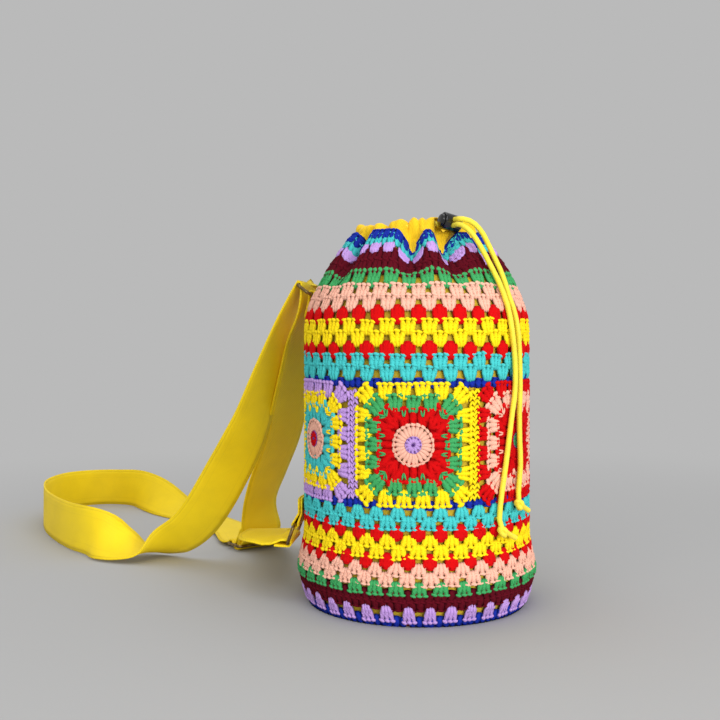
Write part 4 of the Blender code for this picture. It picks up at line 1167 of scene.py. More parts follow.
def tube(
    name: str,
    lines: Sequence[tuple[Sequence[Vector], bool]],
    diameter: float,
    material: bpy.types.Material,
    *nodes: str,
    body: str = "bag",
) -> bpy.types.Object:
    """A round cord or wire.

    Args:
        name: name of the object.
        lines: centre lines, each with True where it closes on itself.
        diameter: its thickness.
        material: its finish.
        nodes: CAD nodes that it stands for.
        body: CAD body that it rides on.

    Returns:
        The new object.
    """
    curve = bpy.data.curves.new(name, "CURVE")
    curve.dimensions = "3D"
    curve.bevel_depth = diameter / 2
    curve.bevel_resolution = 4
    curve.use_fill_caps = True
    for points, closed in lines:
        line = curve.splines.new("POLY")
        line.points.add(len(points) - 1)
        line.use_cyclic_u = closed
        line.use_smooth = True
        for place, point in zip(line.points, points):
            place.co = (*point, 1.0)
    curve.materials.append(material)
    made = bpy.data.objects.new(name, curve)
    bpy.context.collection.objects.link(made)
    return place_piece(made, *nodes, body=body)


class Lining:
    """Cotton lining: a tube that follows the wall, and its round bottom."""

    FLOOR = BASE_THICKNESS + CLEARANCE
    THICKNESS = 0.0012
    RADIUS = 0.0895
    CRUMPLE = 0.0004

    def build(self, finishes: Finishes) -> None:
        """Make the tube and the bottom."""
        height = WALL_TOP - self.FLOOR
        wall = sheet_of(180, 48, self._wall, (2 * math.pi * BODY_RADIUS, height), True)
        made = place_mesh("Lining_tube", wall, [finishes.lining], "lining_wall")
        thicken(made, self.THICKNESS)
        bottom = sheet_of(48, 12, self._bottom, (0.5, 0.1), True)
        made = place_mesh("Lining_bottom", bottom, [finishes.lining], "lining_base")
        thicken(made, self.THICKNESS)

    def _wall(self, across: float, up: float) -> Vector:
        """Point of the tube's middle layer."""
        angle = across * 2 * math.pi
        height = self.FLOOR + up * (WALL_TOP - self.FLOOR)
        spot = sideways(angle) * 4 + UP * (up * 8)
        crumple = self.CRUMPLE * noise.noise(spot)
        return wall_point(angle, height, LINING_DEPTH + self.THICKNESS / 2 + crumple)

    def _bottom(self, across: float, out: float) -> Vector:
        """Point of the bottom's middle layer."""
        angle = across * 2 * math.pi
        spot = (sideways(angle) + UP * out) * 3
        level = self.FLOOR + 0.75 * self.THICKNESS + 0.75 * self.CRUMPLE * noise.noise(spot)
        return polar(angle, max(out, 0.002) * self.RADIUS, level)


class Casing:
    """Drawstring casing: folded cloth round the cord, gathered on it."""

    RADIUS = 0.0495
    FOLD_DEPTH = 0.0045
    TOP = 0.3330
    HALF = 0.0038
    ARCH = 0.0065
    THICKNESS = 0.0010
    PRESS_IN = 0.0080
    # Shares of the cloth at which it leaves the rim, starts over the cord and ends that
    RIM_SHARE = 0.15
    ARCH_START = 0.35
    ARCH_END = 0.75
    EXIT_HALF_ANGLE = math.radians(11)
    EXIT_LEVELS = (0.3215, 0.3325)
    PLEATS = (-33, -12, -1, 8, 64, 77, 96, 113, 140, 158, 181, 204, 226, 251, 268, 289, 306)
    PLEAT_HALF_WIDTH = math.radians(6.5)
    PLEAT_DEPTH = 0.0042
    PLEAT_DIP = 0.0034
    LOW_SIDE = math.radians(-55)
    LOW_SPREAD = math.radians(60)
    LOW_DROP = 0.0050
    CORD_INSET = math.radians(14)
    CORD_STEPS = 96

    def build(self, finishes: Finishes) -> None:
        """Make the cloth with its opening at the cord lock, and the cord in it."""
        bm = sheet_of(300, 22, self._place, (0.62, 0.05), True)
        gone = []
        for face in bm.faces:
            middle = face.calc_center_median()
            angle = math.atan2(middle.x, -middle.y)
            near = angle_between(angle, LOCK_ANGLE) < self.EXIT_HALF_ANGLE
            front = math.hypot(middle.x, middle.y) > self._middle(angle)
            if near and front and self.EXIT_LEVELS[0] < middle.z < self.EXIT_LEVELS[1]:
                gone.append(face)
        bmesh.ops.delete(bm, geom=gone, context="FACES")
        made = place_mesh("Drawstring_casing", bm, [finishes.casing], "drawstring_casing")
        thicken(made, self.THICKNESS)
        self._held_cord(finishes)

    def _held_cord(self, finishes: Finishes) -> None:
        """The cord's length inside the casing; its ends turn out to the cord lock."""
        first, last = self._cord_end(1), self._cord_end(-1)
        start = LOCK_ANGLE + self.CORD_INSET
        span = 2 * (math.pi - self.CORD_INSET)
        points = list(first)
        for number in range(self.CORD_STEPS + 1):
            points.append(self._channel(start + span * number / self.CORD_STEPS))
        points += last[::-1]
        tube("Held_cord", [(points, False)], CORD_DIAMETER, finishes.cord, "drawcord_loop")

    def _cord_end(self, side: int) -> list[Vector]:
        """Two points behind the cord lock, where one end meets its tail."""
        rise = CordTail.LOCK_UP * (side * (CORD_HALF + CLEARANCE / 2))
        stop = -CordTail.BARREL_RADIUS - CordTail.JOIN - CLEARANCE
        return [
            LOCK_PLACE + CordTail.LOCK_HOLE * along + rise
            for along in (stop, stop - CORD_HALF)
        ]

    def _channel(self, angle: float) -> Vector:
        """Middle of the casing's channel, just under its top fold."""
        across = (angle / (2 * math.pi)) % 1.0
        outer, inner = self._place(across, 0.42), self._place(across, 0.68)
        crown = self._place(across, 0.55)
        middle = (outer + inner) / 2
        return Vector((middle.x, middle.y, crown.z - CORD_HALF - 0.0016))

    def _pleat(self, angle: float) -> float:
        """1 in the crease of a small pleat between the larger gathers."""
        away = min(angle_between(angle, math.radians(place)) for place in self.PLEATS)
        return max(1 - away / self.PLEAT_HALF_WIDTH, 0.0) ** 1.5

    def _middle(self, angle: float) -> float:
        """Radius of the channel's middle, pushed in behind the cord lock."""
        pressed = lock_press(angle)
        fold = self.FOLD_DEPTH * fold_share(angle) * (1 - pressed)
        return self.RADIUS - fold - self.PRESS_IN * pressed

    def _place(self, across: float, along: float) -> Vector:
        """Over the cord from behind the crochet's rim down into the bag's neck."""
        angle = across * 2 * math.pi
        ring = sideways(angle)
        pressed = lock_press(angle)
        calm = 1 - 0.65 * pressed
        crease = self._pleat(angle) * (1 - 0.8 * pressed)
        pleat = noise.noise(ring * 7.0 + Vector((3.0, 0.0, along * 0.6)))
        fine = noise.noise(ring * 18.0 + Vector((0.0, 5.0, along * 1.2)))
        ripple = calm * (0.0022 * pleat + 0.0012 * fine)
        middle = self._middle(angle) + ripple - self.PLEAT_DEPTH * crease
        low = smooth_share(1 - angle_between(angle, self.LOW_SIDE) / self.LOW_SPREAD, 0.0, 0.7)
        top = self.TOP + calm * (0.0020 * noise.noise(ring * 3.0) + 0.0010 * pleat)
        top -= self.LOW_DROP * low + self.PLEAT_DIP * crease
        spring = top - self.ARCH
        behind = self.PRESS_IN * pressed
        rim = wall_point(angle, WALL_TOP - 0.006 - behind / 2, CROCHET_THICKNESS + 0.0004 + behind)
        edge = wall_point(angle, WALL_TOP + 0.001 - behind / 2, CROCHET_THICKNESS * 0.9 + behind)
        neck = wall_point(angle, WALL_TOP - 0.016, LINING_DEPTH + 0.0020)
        if along < self.RIM_SHARE:
            return rim.lerp(edge, along / self.RIM_SHARE)
        if along < self.ARCH_START:
            share = smooth_share(along, self.RIM_SHARE, self.ARCH_START)
            return edge.lerp(polar(angle, middle + self.HALF, spring), share)
        if along < self.ARCH_END:
            turn = (along - self.ARCH_START) / (self.ARCH_END - self.ARCH_START) * math.pi
            rise = self.ARCH * math.sin(turn) ** 0.8
            return polar(angle, middle + self.HALF * math.cos(turn), spring + rise)
        inside = polar(angle, middle - self.HALF, spring)
        return inside.lerp(neck, (along - self.ARCH_END) / (1 - self.ARCH_END))


@dataclass(frozen=True)
class CordTail:
    """One free end of the drawcord, with its overhand knot.

    Attributes:
        word: left or right.
        side: which of the stacked cords it is, -1 or 1.
        free: points near the lock, measured up from the wall's top.
        wall: degrees round the wall and levels below its top.
        knot: degrees and level of its knot.
    """

    word: str
    side: int
    free: Sequence[Point3]
    wall: Sequence[Point2]
    knot: Point2
    LOCK_AXIS = Vector((0.88, 0.42, -0.22)).normalized()
    LOCK_HOLE = Vector((0.42, -0.905, -0.05))
    LOCK_UP = LOCK_HOLE.cross(LOCK_AXIS).normalized()
    BARREL_RADIUS = 0.0074
    JOIN = 0.0012
    STRAIGHT = 0.010
    STEP = 0.011
    CLOSE_POINTS = 9
    SLIMMER = 0.97
    KNOT_RADIUS = 0.0052
    KNOT_TAIL = 0.0150
    KNOT_SLIMMER = 0.94
    KNOT_SAG = 0.25
    KNOT_STEPS = 24

    def build(self, finishes: Finishes) -> None:
        angle, height = math.radians(self.knot[0]), WALL_TOP + self.knot[1]
        centre = polar(angle, wall_radius(height) + self.KNOT_RADIUS + 2 * CLEARANCE, height)
        points = self._route(centre)
        tail = tube(
            f"Drawcord_tail_{self.word}_braid", [(points, False)], CORD_DIAMETER * self.SLIMMER,
            finishes.cord, f"drawcord_tail_{self.word}",
        )
        knot_line = self._knot_line(centre, points[-1], angle)
        knot = tube(
            f"Cord_knot_{self.word}_braid", [(knot_line, False)], CORD_DIAMETER * self.KNOT_SLIMMER,
            finishes.cord, f"cord_knot_{self.word}",
        )
        length = sum((b - a).length for a, b in zip(points, points[1:]))
        exit_point = self._lock_point(self.BARREL_RADIUS)
        LOG.info("cord %s is %.3f m long", self.word, length)

    def _lock_point(self, along: float) -> Vector:
        """Point of this cord in line with the cord lock's hole."""
        rise = self.side * (CORD_HALF + CLEARANCE / 2)
        return LOCK_PLACE + self.LOCK_HOLE * along + self.LOCK_UP * rise

    def _route(self, centre: Vector) -> list[Vector]:
        """Middle line from behind the lock down the wall to the knot's surface."""
        reach = self.BARREL_RADIUS
        points = [
            self._lock_point(along)
            for along in (-reach - self.JOIN, 0.0, reach, reach + self.STRAIGHT)
        ]
        points += [Vector(place) + UP * WALL_TOP for place in self.free]
        for degrees, level in self.wall:
            height = WALL_TOP + level
            rise = CORD_HALF + 2 * CLEARANCE
            points.append(polar(math.radians(degrees), wall_radius(height) + rise, height))
        last = points[-1] - centre
        points.append(centre + last.normalized() * (self.KNOT_RADIUS + CLEARANCE))
        close = even_points(points, self.STEP / 2)
        return close[:self.CLOSE_POINTS] + close[self.CLOSE_POINTS::2]

    def _knot_line(self, centre: Vector, end: Vector, angle: float) -> list[Vector]:
        """An overhand knot: in from the cord, once round, and out to a short end."""
        into = (end - centre).normalized()
        pull = (sideways(angle) - UP * self.KNOT_SAG).normalized()
        out = outward(angle)
        size = self.KNOT_RADIUS * 0.52
        line = [end + into * 0.002, end]
        for number in range(self.KNOT_STEPS + 1):
            turn = 2 * math.pi * number / self.KNOT_STEPS
            reach = size * (1.0 + 0.25 * math.cos(3 * turn))
            swing = into * math.cos(turn) + pull * math.sin(turn)
            line.append(centre + swing * reach + out * (size * 0.75 * math.sin(2 * turn)))
        line.append(centre + pull * (self.KNOT_RADIUS * 1.1))
        line.append(centre + pull * (self.KNOT_TAIL * 0.6) - UP * 0.001)
        line.append(centre + pull * self.KNOT_TAIL - UP * 0.0025)
        return even_points(line, 0.0014)


TAILS = (
    CordTail(
        "left", -1,
        ((0.0405, -0.0672, -0.0010), (0.0475, -0.0675, -0.0110), (0.0535, -0.0665, -0.0215),
         (0.0585, -0.0660, -0.0310), (0.0628, -0.0665, -0.0395)),
        ((45.0, -0.050), (45.5, -0.064), (46.5, -0.082), (49.0, -0.108), (49.0, -0.133),
         (46.5, -0.152), (44.0, -0.174), (42.0, -0.192), (38.8, -0.219), (37.6, -0.236)),
        (38.4, -0.2465),
    ),
    CordTail(
        "right", 1,
        ((0.0435, -0.0640, 0.0062), (0.0522, -0.0625, -0.0035), (0.0590, -0.0605, -0.0170),
         (0.0645, -0.0600, -0.0285), (0.0690, -0.0610, -0.0390)),
        ((49.0, -0.051), (49.8, -0.063), (51.5, -0.082), (53.2, -0.108), (53.6, -0.133),
         (52.8, -0.152), (53.2, -0.175), (54.0, -0.194), (52.0, -0.2155)),
        (50.0, -0.2270),
    ),
)

@dataclass(frozen=True)
class Anchor:
    """Where a ring is sewn to the wall.

    Attributes:
        word: upper or lower.
        angle: place round the bag.
        height: height on the wall.
        depth: length of the ring from bar to bar.
        lean: rise of the ring away from the bag.
        turn: direction of its bars round the bag.
        way: 1 where the ring stands up from its tab, -1 where it hangs.
    """

    word: str
    angle: float
    height: float
    depth: float
    lean: float
    turn: float
    way: int
    STAND_OFF = 0.0062
    RING_INSIDE = 0.0535
    TAB_WIDTH = 0.040
    TAB_LENGTH = 0.022
    TAB_SEAT = 0.0012
    TAB_FOLD_SHARES = (0.72, 0.45)
    CORNER = 0.0032
    LAP = WEBBING_THICKNESS + LAYER_CLEARANCE

    def axes(self) -> tuple[Vector, Vector, Vector]:
        """Bar at the tab, the ring's lean, and the bars' direction."""
        bar = polar(self.angle, wall_radius(self.height) + self.STAND_OFF, self.height)
        lean = outward(self.angle) * math.cos(self.lean) + UP * math.sin(self.lean)
        across = outward(self.turn)
        lean = (lean - across * lean.dot(across)).normalized()
        return bar, lean, across

    def far_bar(self, side: int) -> tuple[Vector, Vector, Vector]:
        """The bar that the sling is laid round.

        Args:
            side: 1 for the direction away from the bag, -1 for the one towards it.

        Returns:
            Its middle, that direction square to it, and the way the sling's width points.
        """
        bar, lean, across = self.axes()
        level = outward(self.angle) * side
        level = (level - across * level.dot(across)).normalized()
        return bar + lean * self.depth, level, -across

    def build(self, finishes: Finishes) -> None:
        """Make the wire ring and the tab that holds it."""
        bar, lean, across = self.axes()
        line = rounded_loop(
            bar + lean * (self.depth / 2), across, lean,
            (self.RING_INSIDE + WIRE) / 2, self.depth / 2, self.CORNER,
        )
        tube(
            f"{self.word.title()}_ring_wire", [(line, True)], WIRE, finishes.brass,
            f"{self.word}_ring",
        )
        self._tab(finishes, across)

    def _tab(self, finishes: Finishes, across: Vector) -> None:
        """Short webbing loop round the ring's bar, its ends sewn flat to the wall."""
        seat = self.TAB_SEAT + WEBBING_THICKNESS / 2
        turn = WIRE / 2 + CLEARANCE + WEBBING_THICKNESS / 2
        shares = (1.0, *self.TAB_FOLD_SHARES)
        path = [(seat, -self.TAB_LENGTH * share, True) for share in shares]
        for degrees in range(200, -31, -23):
            swing = math.radians(degrees)
            path.append(
                (self.STAND_OFF + turn * math.cos(swing), turn * math.sin(swing), False)
            )
        path += [(seat + self.LAP, -self.TAB_LENGTH * share, True) for share in shares[::-1]]

        def place(side: float, along: float) -> Vector:
            """Point of the tab's middle layer."""
            off, level, on_bag = path[int(round(along * (len(path) - 1)))]
            spread = (2 * side - 1) * self.TAB_WIDTH / 2
            height = self.height + self.way * level
            radius = wall_radius(height if on_bag else self.height) + off
            sag = spread * spread / (2 * radius) if on_bag else 0.0
            way = sideways(self.angle) if on_bag else across
            return polar(self.angle, radius - sag, height) + way * spread

        bm = sheet_of(8, len(path) - 1, place, (0.8, 0.05))
        made = place_mesh(
            f"{self.word.title()}_tab_loop", bm, [finishes.webbing], f"{self.word}_tab"
        )
        thicken(made, WEBBING_THICKNESS)


def rounded_loop(
    centre: Vector, across: Vector, along: Vector, half_across: float, half_along: float,
    corner: float,
) -> list[Vector]:
    """Centre line of a rectangular ring with rounded corners.

    Args:
        centre: its middle.
        across: direction of its long bars.
        along: direction from bar to bar.
        half_across: half its length across.
        half_along: half its length along.
        corner: radius of its corners.

    Returns:
        The points of the line, which closes on itself.
    """
    out = []
    for quarter, (sx, sy) in enumerate(((1, 1), (-1, 1), (-1, -1), (1, -1))):
        for step in range(6):
            turn = math.pi / 2 * (quarter + step / 5)
            x = sx * (half_across - corner) + corner * math.cos(turn)
            y = sy * (half_along - corner) + corner * math.sin(turn)
            out.append(centre + across * x + along * y)
    return out


class Slider:
    """Adjusting buckle of the sling: a wire frame with a middle bar."""

    PLACE = Vector((-0.1650, 0.2150, 0.0059))
    ACROSS = Vector((0.80, 0.60, 0.0))
    RUN = Vector((ACROSS.y, -ACROSS.x, 0.0)).normalized()
    PITCH = 0.0130
    CORNER = 0.0034

    def build(self, finishes: Finishes) -> None:
        """Make the frame and its middle bar."""
        half = (Anchor.RING_INSIDE + WIRE) / 2
        frame = rounded_loop(self.PLACE, self.ACROSS, self.RUN, half, self.PITCH, self.CORNER)
        bar = [self.PLACE - self.ACROSS * half, self.PLACE + self.ACROSS * half]
        lines = [(frame, True), (bar, False)]
        tube("Strap_slider_wire", lines, WIRE, finishes.brass, "strap_slider")


UPPER_ANCHOR = Anchor(
    "upper", math.radians(-114), WALL_TOP - 0.049, 0.0135,
    math.atan2(0.60, 0.80), math.atan2(-0.25, 0.968), 1,
)
LOWER_ANCHOR = Anchor(
    "lower", math.radians(-97), 0.0655, 0.0165,
    math.atan2(-0.94, 0.33), math.atan2(-0.10, 0.995), -1,
)

# Free run of the webbing in metres: its middle and the way its width points.
# Up from the slider to the upper ring
STRAP_RISE = (
    ((-0.160, 0.204, 0.048), (0.62, 0.75, 0.10)), ((-0.148, 0.178, 0.084), (0.66, 0.72, 0.05)),
    ((-0.130, 0.139, 0.129), (0.64, 0.76, 0.00)), ((-0.118, 0.104, 0.177), (0.58, 0.81, 0.00)),
    ((-0.107, 0.074, 0.224), (0.48, 0.87, 0.00)), ((-0.0985, 0.0455, 0.258), (0.30, 0.95, 0.00)),
)
# From that ring down to the floor, round the loose loop and back to the slider
STRAP_FALL = (
    ((-0.120, 0.052, 0.248), (0.28, 0.95, 0.05)), ((-0.135, 0.064, 0.205), (0.50, 0.86, 0.00)),
    ((-0.151, 0.080, 0.163), (0.60, 0.78, -0.10)), ((-0.163, 0.090, 0.134), (0.74, 0.64, -0.18)),
    ((-0.181, 0.108, 0.100), (0.82, 0.52, -0.26)), ((-0.204, 0.126, 0.061), (0.79, 0.48, -0.38)),
    ((-0.224, 0.137, 0.036), (0.67, 0.52, -0.53)), ((-0.247, 0.146, 0.020), (0.42, 0.66, -0.62)),
    ((-0.270, 0.152, 0.008), (0.12, 0.97, -0.20)), ((-0.298, 0.156, 0.014), (0.00, 0.87, 0.48)),
    ((-0.331, 0.166, 0.0258), (0.00, 0.25, 0.97)), ((-0.367, 0.203, 0.026), (0.00, 0.06, 1.00)),
    ((-0.402, 0.257, 0.026), (0.00, 0.00, 1.00)), ((-0.431, 0.318, 0.026), (0.00, 0.00, 1.00)),
    ((-0.450, 0.388, 0.026), (0.03, -0.03, 1.00)), ((-0.445, 0.455, 0.0258), (0.06, -0.12, 1.00)),
    ((-0.412, 0.491, 0.0255), (0.04, -0.20, 0.98)), ((-0.370, 0.488, 0.025), (-0.02, -0.12, 0.98)),
    ((-0.330, 0.456, 0.020), (0.25, 0.45, 0.85)), ((-0.288, 0.418, 0.008), (0.55, 0.78, 0.30)),
    ((-0.245, 0.374, 0.003), (0.68, 0.72, 0.04)), ((-0.202, 0.300, 0.004), (0.76, 0.65, 0.00)),
)
# From the slider over a low hump to the lower ring
STRAP_LINK = (
    ((-0.148, 0.185, 0.020), (0.93, 0.36, 0.00)), ((-0.140, 0.150, 0.032), (0.99, 0.10, 0.00)),
    ((-0.1365, 0.105, 0.040), (1.00, 0.00, 0.00)), ((-0.1375, 0.070, 0.044), (1.00, 0.00, 0.00)),
    ((-0.1385, 0.046, 0.0462), (0.97, 0.25, 0.00)), ((-0.135, 0.027, 0.0485), (0.75, 0.66, 0.00)),
    ((-0.124, 0.0158, 0.0502), (0.15, 0.99, 0.00)),
)


class Sling:
    """One length of webbing, sewn round the slider's bar and round the lower ring.

    Attributes:
        places: middle line of the webbing.
        ways: the way its width points at each of those places.
    """

    ACROSS = 8
    TURN = WIRE / 2 + CLEARANCE + WEBBING_THICKNESS / 2
    # Two layers sewn together above the slider's middle bar
    TAIL = 0.020
    TAIL_LEAN = math.atan2(0.47, 0.88)
    TAIL_FOLD_SHARE = 0.45
    TAIL_FOLD_SPREAD = 1.15
    SLIDER_STEP = 0.48
    # Degrees at which the webbing is laid round each bar
    SLIDER_WRAP = (0, 45, 90, 135, 180)
    UPPER_WRAP = (-10, 35, 80, 125, 160)
    LOWER_WRAP = (10, 55, 100, 145, 180)
    # Before and after the lower ring's bar, in turns away from it and up
    LOWER_ARRIVAL = (2.5, 1.05)
    LOWER_END = ((2.5, -0.95), (4.8, -0.80))
    # Parts of the curve between stations that lie further apart than each length
    PARTS = ((0.020, 6), (0.004, 3), (0.0, 2))

    def __init__(self) -> None:
        """Lay the webbing's middle line through its stations."""
        self.places: list[Vector] = []
        self.ways: list[Vector] = []
        stations = (
            self._sewn_tail() + self._free(STRAP_RISE) + self._round_upper()
            + self._free(STRAP_FALL) + self._through_slider() + self._free(STRAP_LINK)
            + self._round_lower()
        )
        points = [place for place, _ in stations]
        turns = [way.normalized() for _, way in stations]
        for index in range(len(points) - 1):
            near = (max(index - 1, 0), index, index + 1, min(index + 2, len(points) - 1))
            span = (points[index + 1] - points[index]).length
            parts = next(count for least, count in self.PARTS if span > least)
            for part in range(parts):
                self.places.append(catmull(*(points[n] for n in near), part / parts))
                self.ways.append(catmull(*(turns[n] for n in near), part / parts))
        self.places.append(points[-1])
        self.ways.append(turns[-1])

    def build(self, finishes: Finishes) -> None:
        """Make the webbing as a thickened strip along its middle line."""
        lengths = [0.0]
        for first, second in zip(self.places, self.places[1:]):
            lengths.append(lengths[-1] + (second - first).length)
        rows = len(self.places) - 1
        bm = sheet_of(self.ACROSS, rows, self._place, (1.0, 1.0))
        layer = bm.loops.layers.uv["UVMap"]
        for face in bm.faces:
            for loop in face.loops:
                across, along = loop[layer].uv
                loop[layer].uv = (across, lengths[int(round(along * rows))])
        made = place_mesh("Webbing_sling", bm, [finishes.webbing], "strap_webbing")
        thicken(made, WEBBING_THICKNESS)
        LOG.info("webbing is %.2f m long", lengths[-1])

    @staticmethod
    def _free(stations: Sequence[tuple[Point3, Point3]]) -> list[Station]:
        """Stations of a free run as vectors."""
        return [(Vector(place), Vector(way)) for place, way in stations]

    def _around(self, bar: Vector, first: Vector, second: Vector, way: Vector,
                wrap: Sequence[float]) -> list[Station]:
        """Stations round a bar, at angles from the first direction to the second."""
        out = []
        for degrees in wrap:
            turn = math.radians(degrees)
            swing = first * math.cos(turn) + second * math.sin(turn)
            out.append((bar + swing * self.TURN, way))
        return out

    def _sewn_tail(self) -> list[Station]:
        """Sewn end above the slider, round its middle bar and up again."""
        lean = self.TAIL_LEAN
        rise = UP * math.cos(lean) + Slider.RUN * math.sin(lean)
        side = Slider.RUN * math.cos(lean) - UP * math.sin(lean)
        apart = side * (WEBBING_THICKNESS / 2 + LAYER_CLEARANCE / 2)
        top = Slider.PLACE + rise * self.TAIL
        low = Slider.PLACE + rise * (self.TAIL * self.TAIL_FOLD_SHARE)
        fold = apart * self.TAIL_FOLD_SPREAD
        wrap = self._around(Slider.PLACE, -side, -rise, Slider.ACROSS, self.SLIDER_WRAP)
        before = [(place, Slider.ACROSS) for place in (top - apart, low - fold)]
        after = [(place, Slider.ACROSS) for place in (low + fold, top + apart)]
        return before + wrap + after

    def _round_upper(self) -> list[Station]:
        """Over the upper ring's far bar."""
        bar, inward, way = UPPER_ANCHOR.far_bar(-1)
        return self._around(bar, inward, UP, way, self.UPPER_WRAP)

    def _through_slider(self) -> list[Station]:
        """Over the slider's first bar, under its middle one and over its last."""
        pitch = Slider.RUN * Slider.PITCH
        first, last = Slider.PLACE - pitch, Slider.PLACE + pitch
        under = Slider.PLACE - UP * (WEBBING_THICKNESS + self.TURN + CLEARANCE)
        step = pitch * self.SLIDER_STEP
        crest = UP * (self.TURN + CLEARANCE * 2)
        places = (
            first - step * 3 - UP * (self.TURN / 2), first - step, first + crest, first + step,
            under - step / 2, under + step / 2, last - step, last + crest,
        )
        return [(place, Slider.ACROSS) for place in places]

    def _round_lower(self) -> list[Station]:
        """Round the lower ring's far bar and back along itself."""
        bar, away, way = LOWER_ANCHOR.far_bar(1)
        beside = [
            (bar + away * (self.TURN * out) + UP * (self.TURN * rise), way)
            for out, rise in (self.LOWER_ARRIVAL, *self.LOWER_END)
        ]
        return beside[:1] + self._around(bar, UP, -away, way, self.LOWER_WRAP) + beside[1:]

    def _place(self, across: float, along: float) -> Vector:
        """Point of the webbing's middle layer, kept off the floor."""
        index = int(round(along * (len(self.places) - 1)))
        before = self.places[max(index - 1, 0)]
        after = self.places[min(index + 1, len(self.places) - 1)]
        tangent = (after - before).normalized()
        way = self.ways[index] - tangent * self.ways[index].dot(tangent)
        way = way.normalized() * (WEBBING_WIDTH / 2)
        lift = max(CLEARANCE + WEBBING_THICKNESS / 2 - (self.places[index].z - abs(way.z)), 0.0)
        return self.places[index] + way * (2 * across - 1) + UP * lift


class CordLock:
    """Cord lock: the CAD's barrel and button with a finer finish, and a coil spring."""

    BARREL_HALF = 0.0081
    BARREL_FLOOR = 0.0015
    BORE = 0.0060
    SKIRT = 0.0008
    WIRE = 0.0006
    TURNS = 3
    STEPS = 16
    SIDES = 8
    KEEP = 0.30

    def build(self, finishes: Finishes, nodes: dict[str, bpy.types.Object]) -> None:
        """Give the CAD solids their plastic, and make the spring.

        Args:
            finishes: materials of the object.
            nodes: CAD objects by the names of their nodes.
        """
        for name in ("cord_lock_barrel", "cord_lock_plunger"):
            for slot in nodes[name].material_slots:
                slot.material = finishes.plastic
            LOG.info("%s keeps its CAD solid", name)
        self._spring(finishes)

    def _spring(self, finishes: Finishes) -> None:
        """Coil between the button's foot and the barrel's floor."""
        axis = CordTail.LOCK_AXIS
        across = axis.cross(CordTail.LOCK_HOLE).normalized()
        hole = across.cross(axis).normalized()
        low = CORD_HALF + CLEARANCE + self.SKIRT + CLEARANCE + self.WIRE / 2
        high = self.BARREL_HALF - self.BARREL_FLOOR - CLEARANCE - self.WIRE / 2
        coil = self.BORE - CLEARANCE - self.WIRE
        bm = bmesh.new()
        rings = []
        for number in range(self.TURNS * self.STEPS + 1):
            turn = 2 * math.pi * number / self.STEPS
            rise = low + (high - low) * number / (self.TURNS * self.STEPS)
            away = hole * math.cos(turn) + across * math.sin(turn)
            middle = LOCK_PLACE + away * coil + axis * rise
            rings.append([
                bm.verts.new(
                    middle + (away * math.cos(side) + axis * math.sin(side)) * (self.WIRE / 2)
                )
                for side in (2 * math.pi * n / self.SIDES for n in range(self.SIDES))
            ])
        for first, second in zip(rings, rings[1:]):
            for side in range(self.SIDES):
                near = (side + 1) % self.SIDES
                bm.faces.new((first[side], first[near], second[near], second[side])).smooth = True
        bm.faces.new(rings[0])
        bm.faces.new(rings[-1])
        bmesh.ops.recalc_face_normals(bm, faces=bm.faces)
        made = place_mesh(
            "Coil_spring", bm, [finishes.steel], "cord_lock_spring", body="cord_lock"
        )
        tuple(axis)
        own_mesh(made)


@dataclass(frozen=True)
class Lamp:
    """A square soft light.

    Attributes:
        name: name of the light.
        place: where it stands.
        target: what it points at.
        size: length of its sides in metres.
        power: its power in watts.
    """

    name: str
    place: Point3
    target: Point3
    size: float
    power: float

    def build(self) -> None:
        """Put the light in the scene."""
        data = bpy.data.lights.new(self.name, "AREA")
        data.shape = "SQUARE"
        data.size = self.size
        data.energy = self.power
        light = bpy.data.objects.new(self.name, data)
        light.location = self.place
        aim = Vector(self.target) - Vector(self.place)
        light.rotation_euler = aim.to_track_quat("-Z", "Y").to_euler()
        bpy.context.collection.objects.link(light)


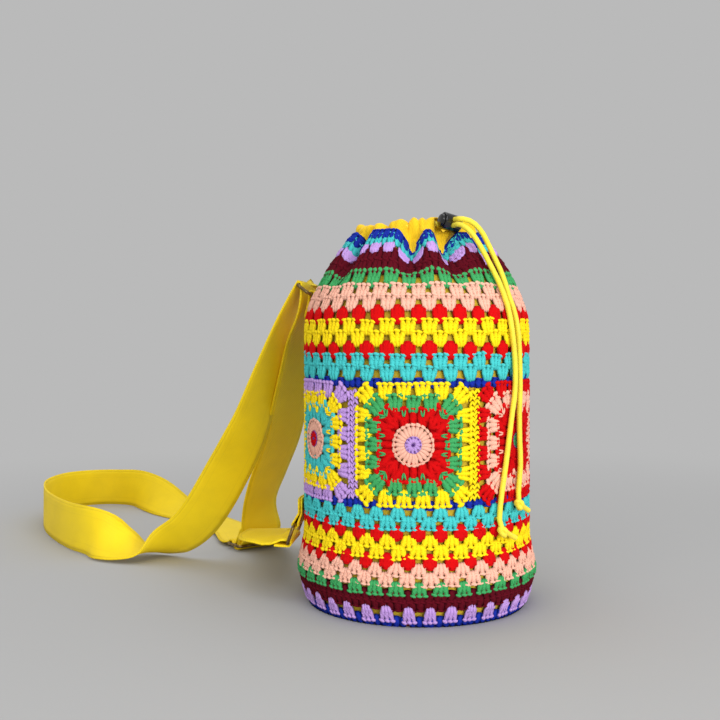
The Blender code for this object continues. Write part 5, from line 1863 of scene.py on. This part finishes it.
class Studio:
    """Plain light grey surroundings, soft lights and the camera."""

    GREY = (0.491, 0.491, 0.491, 1.0)
    FLOOR = (0.42, 0.42, 0.42, 1.0)
    FLOOR_HALF = 30.0
    FADE = (0.35, 1.3)
    WORLD_LIGHT = 0.80
    LAMPS = (
        Lamp("Key", (-0.8, -1.6, 1.4), (-0.05, 0.0, 0.16), 1.2, 8.0),
        Lamp("Fill", (0.9, -2.0, 0.30), (-0.15, 0.0, 0.20), 1.2, 50.0),
        Lamp("Top", (-0.1, 0.4, 1.9), (-0.1, 0.1, 0.0), 1.4, 6.0),
    )
    CAMERA = (-0.050, -0.891, 0.229)
    LENS = 50.0
    SENSOR = 36.0
    HORIZON_SHIFT = -20 / 720
    CLIP = (0.02, 100.0)

    def build(self) -> None:
        """Set up everything round the object."""
        self._floor()
        self._world()
        for lamp in self.LAMPS:
            lamp.build()
        self._camera()

    def _floor(self) -> None:
        """Floor that takes the shadow near the bag and fades to the plain background."""
        graph = Graph("Studio_floor")
        graph.constants(roughness=0.95)
        graph.specular(0.0)
        graph.shader.inputs["Base Color"].default_value = self.FLOOR
        plain = graph.node("ShaderNodeEmission")
        plain.inputs["Color"].default_value = self.GREY
        parts = graph.node("ShaderNodeSeparateXYZ")
        graph.tree.links.new(graph.object_point(), parts.inputs[0])
        x, y = Value(graph, parts.outputs["X"]), Value(graph, parts.outputs["Y"])
        away = graph.math("SQRT", x * x + y * y)
        mixed = graph.node("ShaderNodeMixShader")
        graph.feed(mixed.inputs[0], away.smooth(*self.FADE))
        graph.tree.links.new(graph.shader.outputs[0], mixed.inputs[1])
        graph.tree.links.new(plain.outputs[0], mixed.inputs[2])
        graph.tree.links.new(mixed.outputs[0], graph.output.inputs[0])
        bm = bmesh.new()
        bmesh.ops.create_grid(bm, x_segments=1, y_segments=1, size=self.FLOOR_HALF)
        mesh = bpy.data.meshes.new("Studio_floor")
        bm.to_mesh(mesh)
        bm.free()
        mesh.materials.append(graph.material)
        floor = bpy.data.objects.new("Studio_floor", mesh)
        bpy.context.collection.objects.link(floor)

    def _world(self) -> None:
        """Even light, and the same grey behind the floor's far edge."""
        world = bpy.data.worlds.new("Studio world")
        bpy.context.scene.world = world
        world.use_nodes = True
        tree = world.node_tree
        light = tree.nodes["Background"]
        light.inputs["Color"].default_value = (1.0, 1.0, 1.0, 1.0)
        light.inputs["Strength"].default_value = self.WORLD_LIGHT
        plain = tree.nodes.new("ShaderNodeBackground")
        plain.inputs["Color"].default_value = self.GREY
        path = tree.nodes.new("ShaderNodeLightPath")
        seen = path.outputs["Is Camera Ray"]
        for ray in ("Is Glossy Ray", "Is Transmission Ray"):
            either = tree.nodes.new("ShaderNodeMath")
            either.operation = "MAXIMUM"
            tree.links.new(seen, either.inputs[0])
            tree.links.new(path.outputs[ray], either.inputs[1])
            seen = either.outputs[0]
        mixed = tree.nodes.new("ShaderNodeMixShader")
        tree.links.new(seen, mixed.inputs[0])
        tree.links.new(light.outputs[0], mixed.inputs[1])
        tree.links.new(plain.outputs[0], mixed.inputs[2])
        tree.links.new(mixed.outputs[0], tree.nodes["World Output"].inputs[0])

    def _camera(self) -> None:
        """Level camera in front of the bag, with the view shifted down a little."""
        data = bpy.data.cameras.new("Camera")
        data.lens = self.LENS
        data.sensor_width = self.SENSOR
        data.shift_y = self.HORIZON_SHIFT
        data.clip_start, data.clip_end = self.CLIP
        camera = bpy.data.objects.new("Camera", data)
        camera.location = self.CAMERA
        camera.rotation_euler = (math.radians(90), 0.0, 0.0)
        bpy.context.collection.objects.link(camera)
        bpy.context.scene.camera = camera


def main() -> None:
    """Build the whole scene round the CAD frame."""
    logging.basicConfig(level=logging.INFO, format="%(message)s")
    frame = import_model()
    scene = bpy.context.scene
    scene.view_settings.view_transform = "Standard"
    finishes = Finishes()
    kit = StitchKit()
    Base().build(kit, finishes)
    Wall("Crochet_lower_band", "crochet_lower", LOWER_ROWS, 0.0004, False).build(kit, finishes)
    Wall(
        "Crochet_upper_band", "crochet_upper", UPPER_ROWS, SQUARE_BOTTOM + SQUARE_HEIGHT, True
    ).build(kit, finishes)
    for index, colours in enumerate(SQUARES):
        GrannySquare(index, colours).build(kit, finishes)
    Lining().build(finishes)
    Casing().build(finishes)
    for tail in TAILS:
        tail.build(finishes)
    CordLock().build(finishes, frame["nodes"])
    for anchor in (UPPER_ANCHOR, LOWER_ANCHOR):
        anchor.build(finishes)
    Slider().build(finishes)
    Sling().build(finishes)
    Studio().build()


if __name__ == "__main__":
    main()
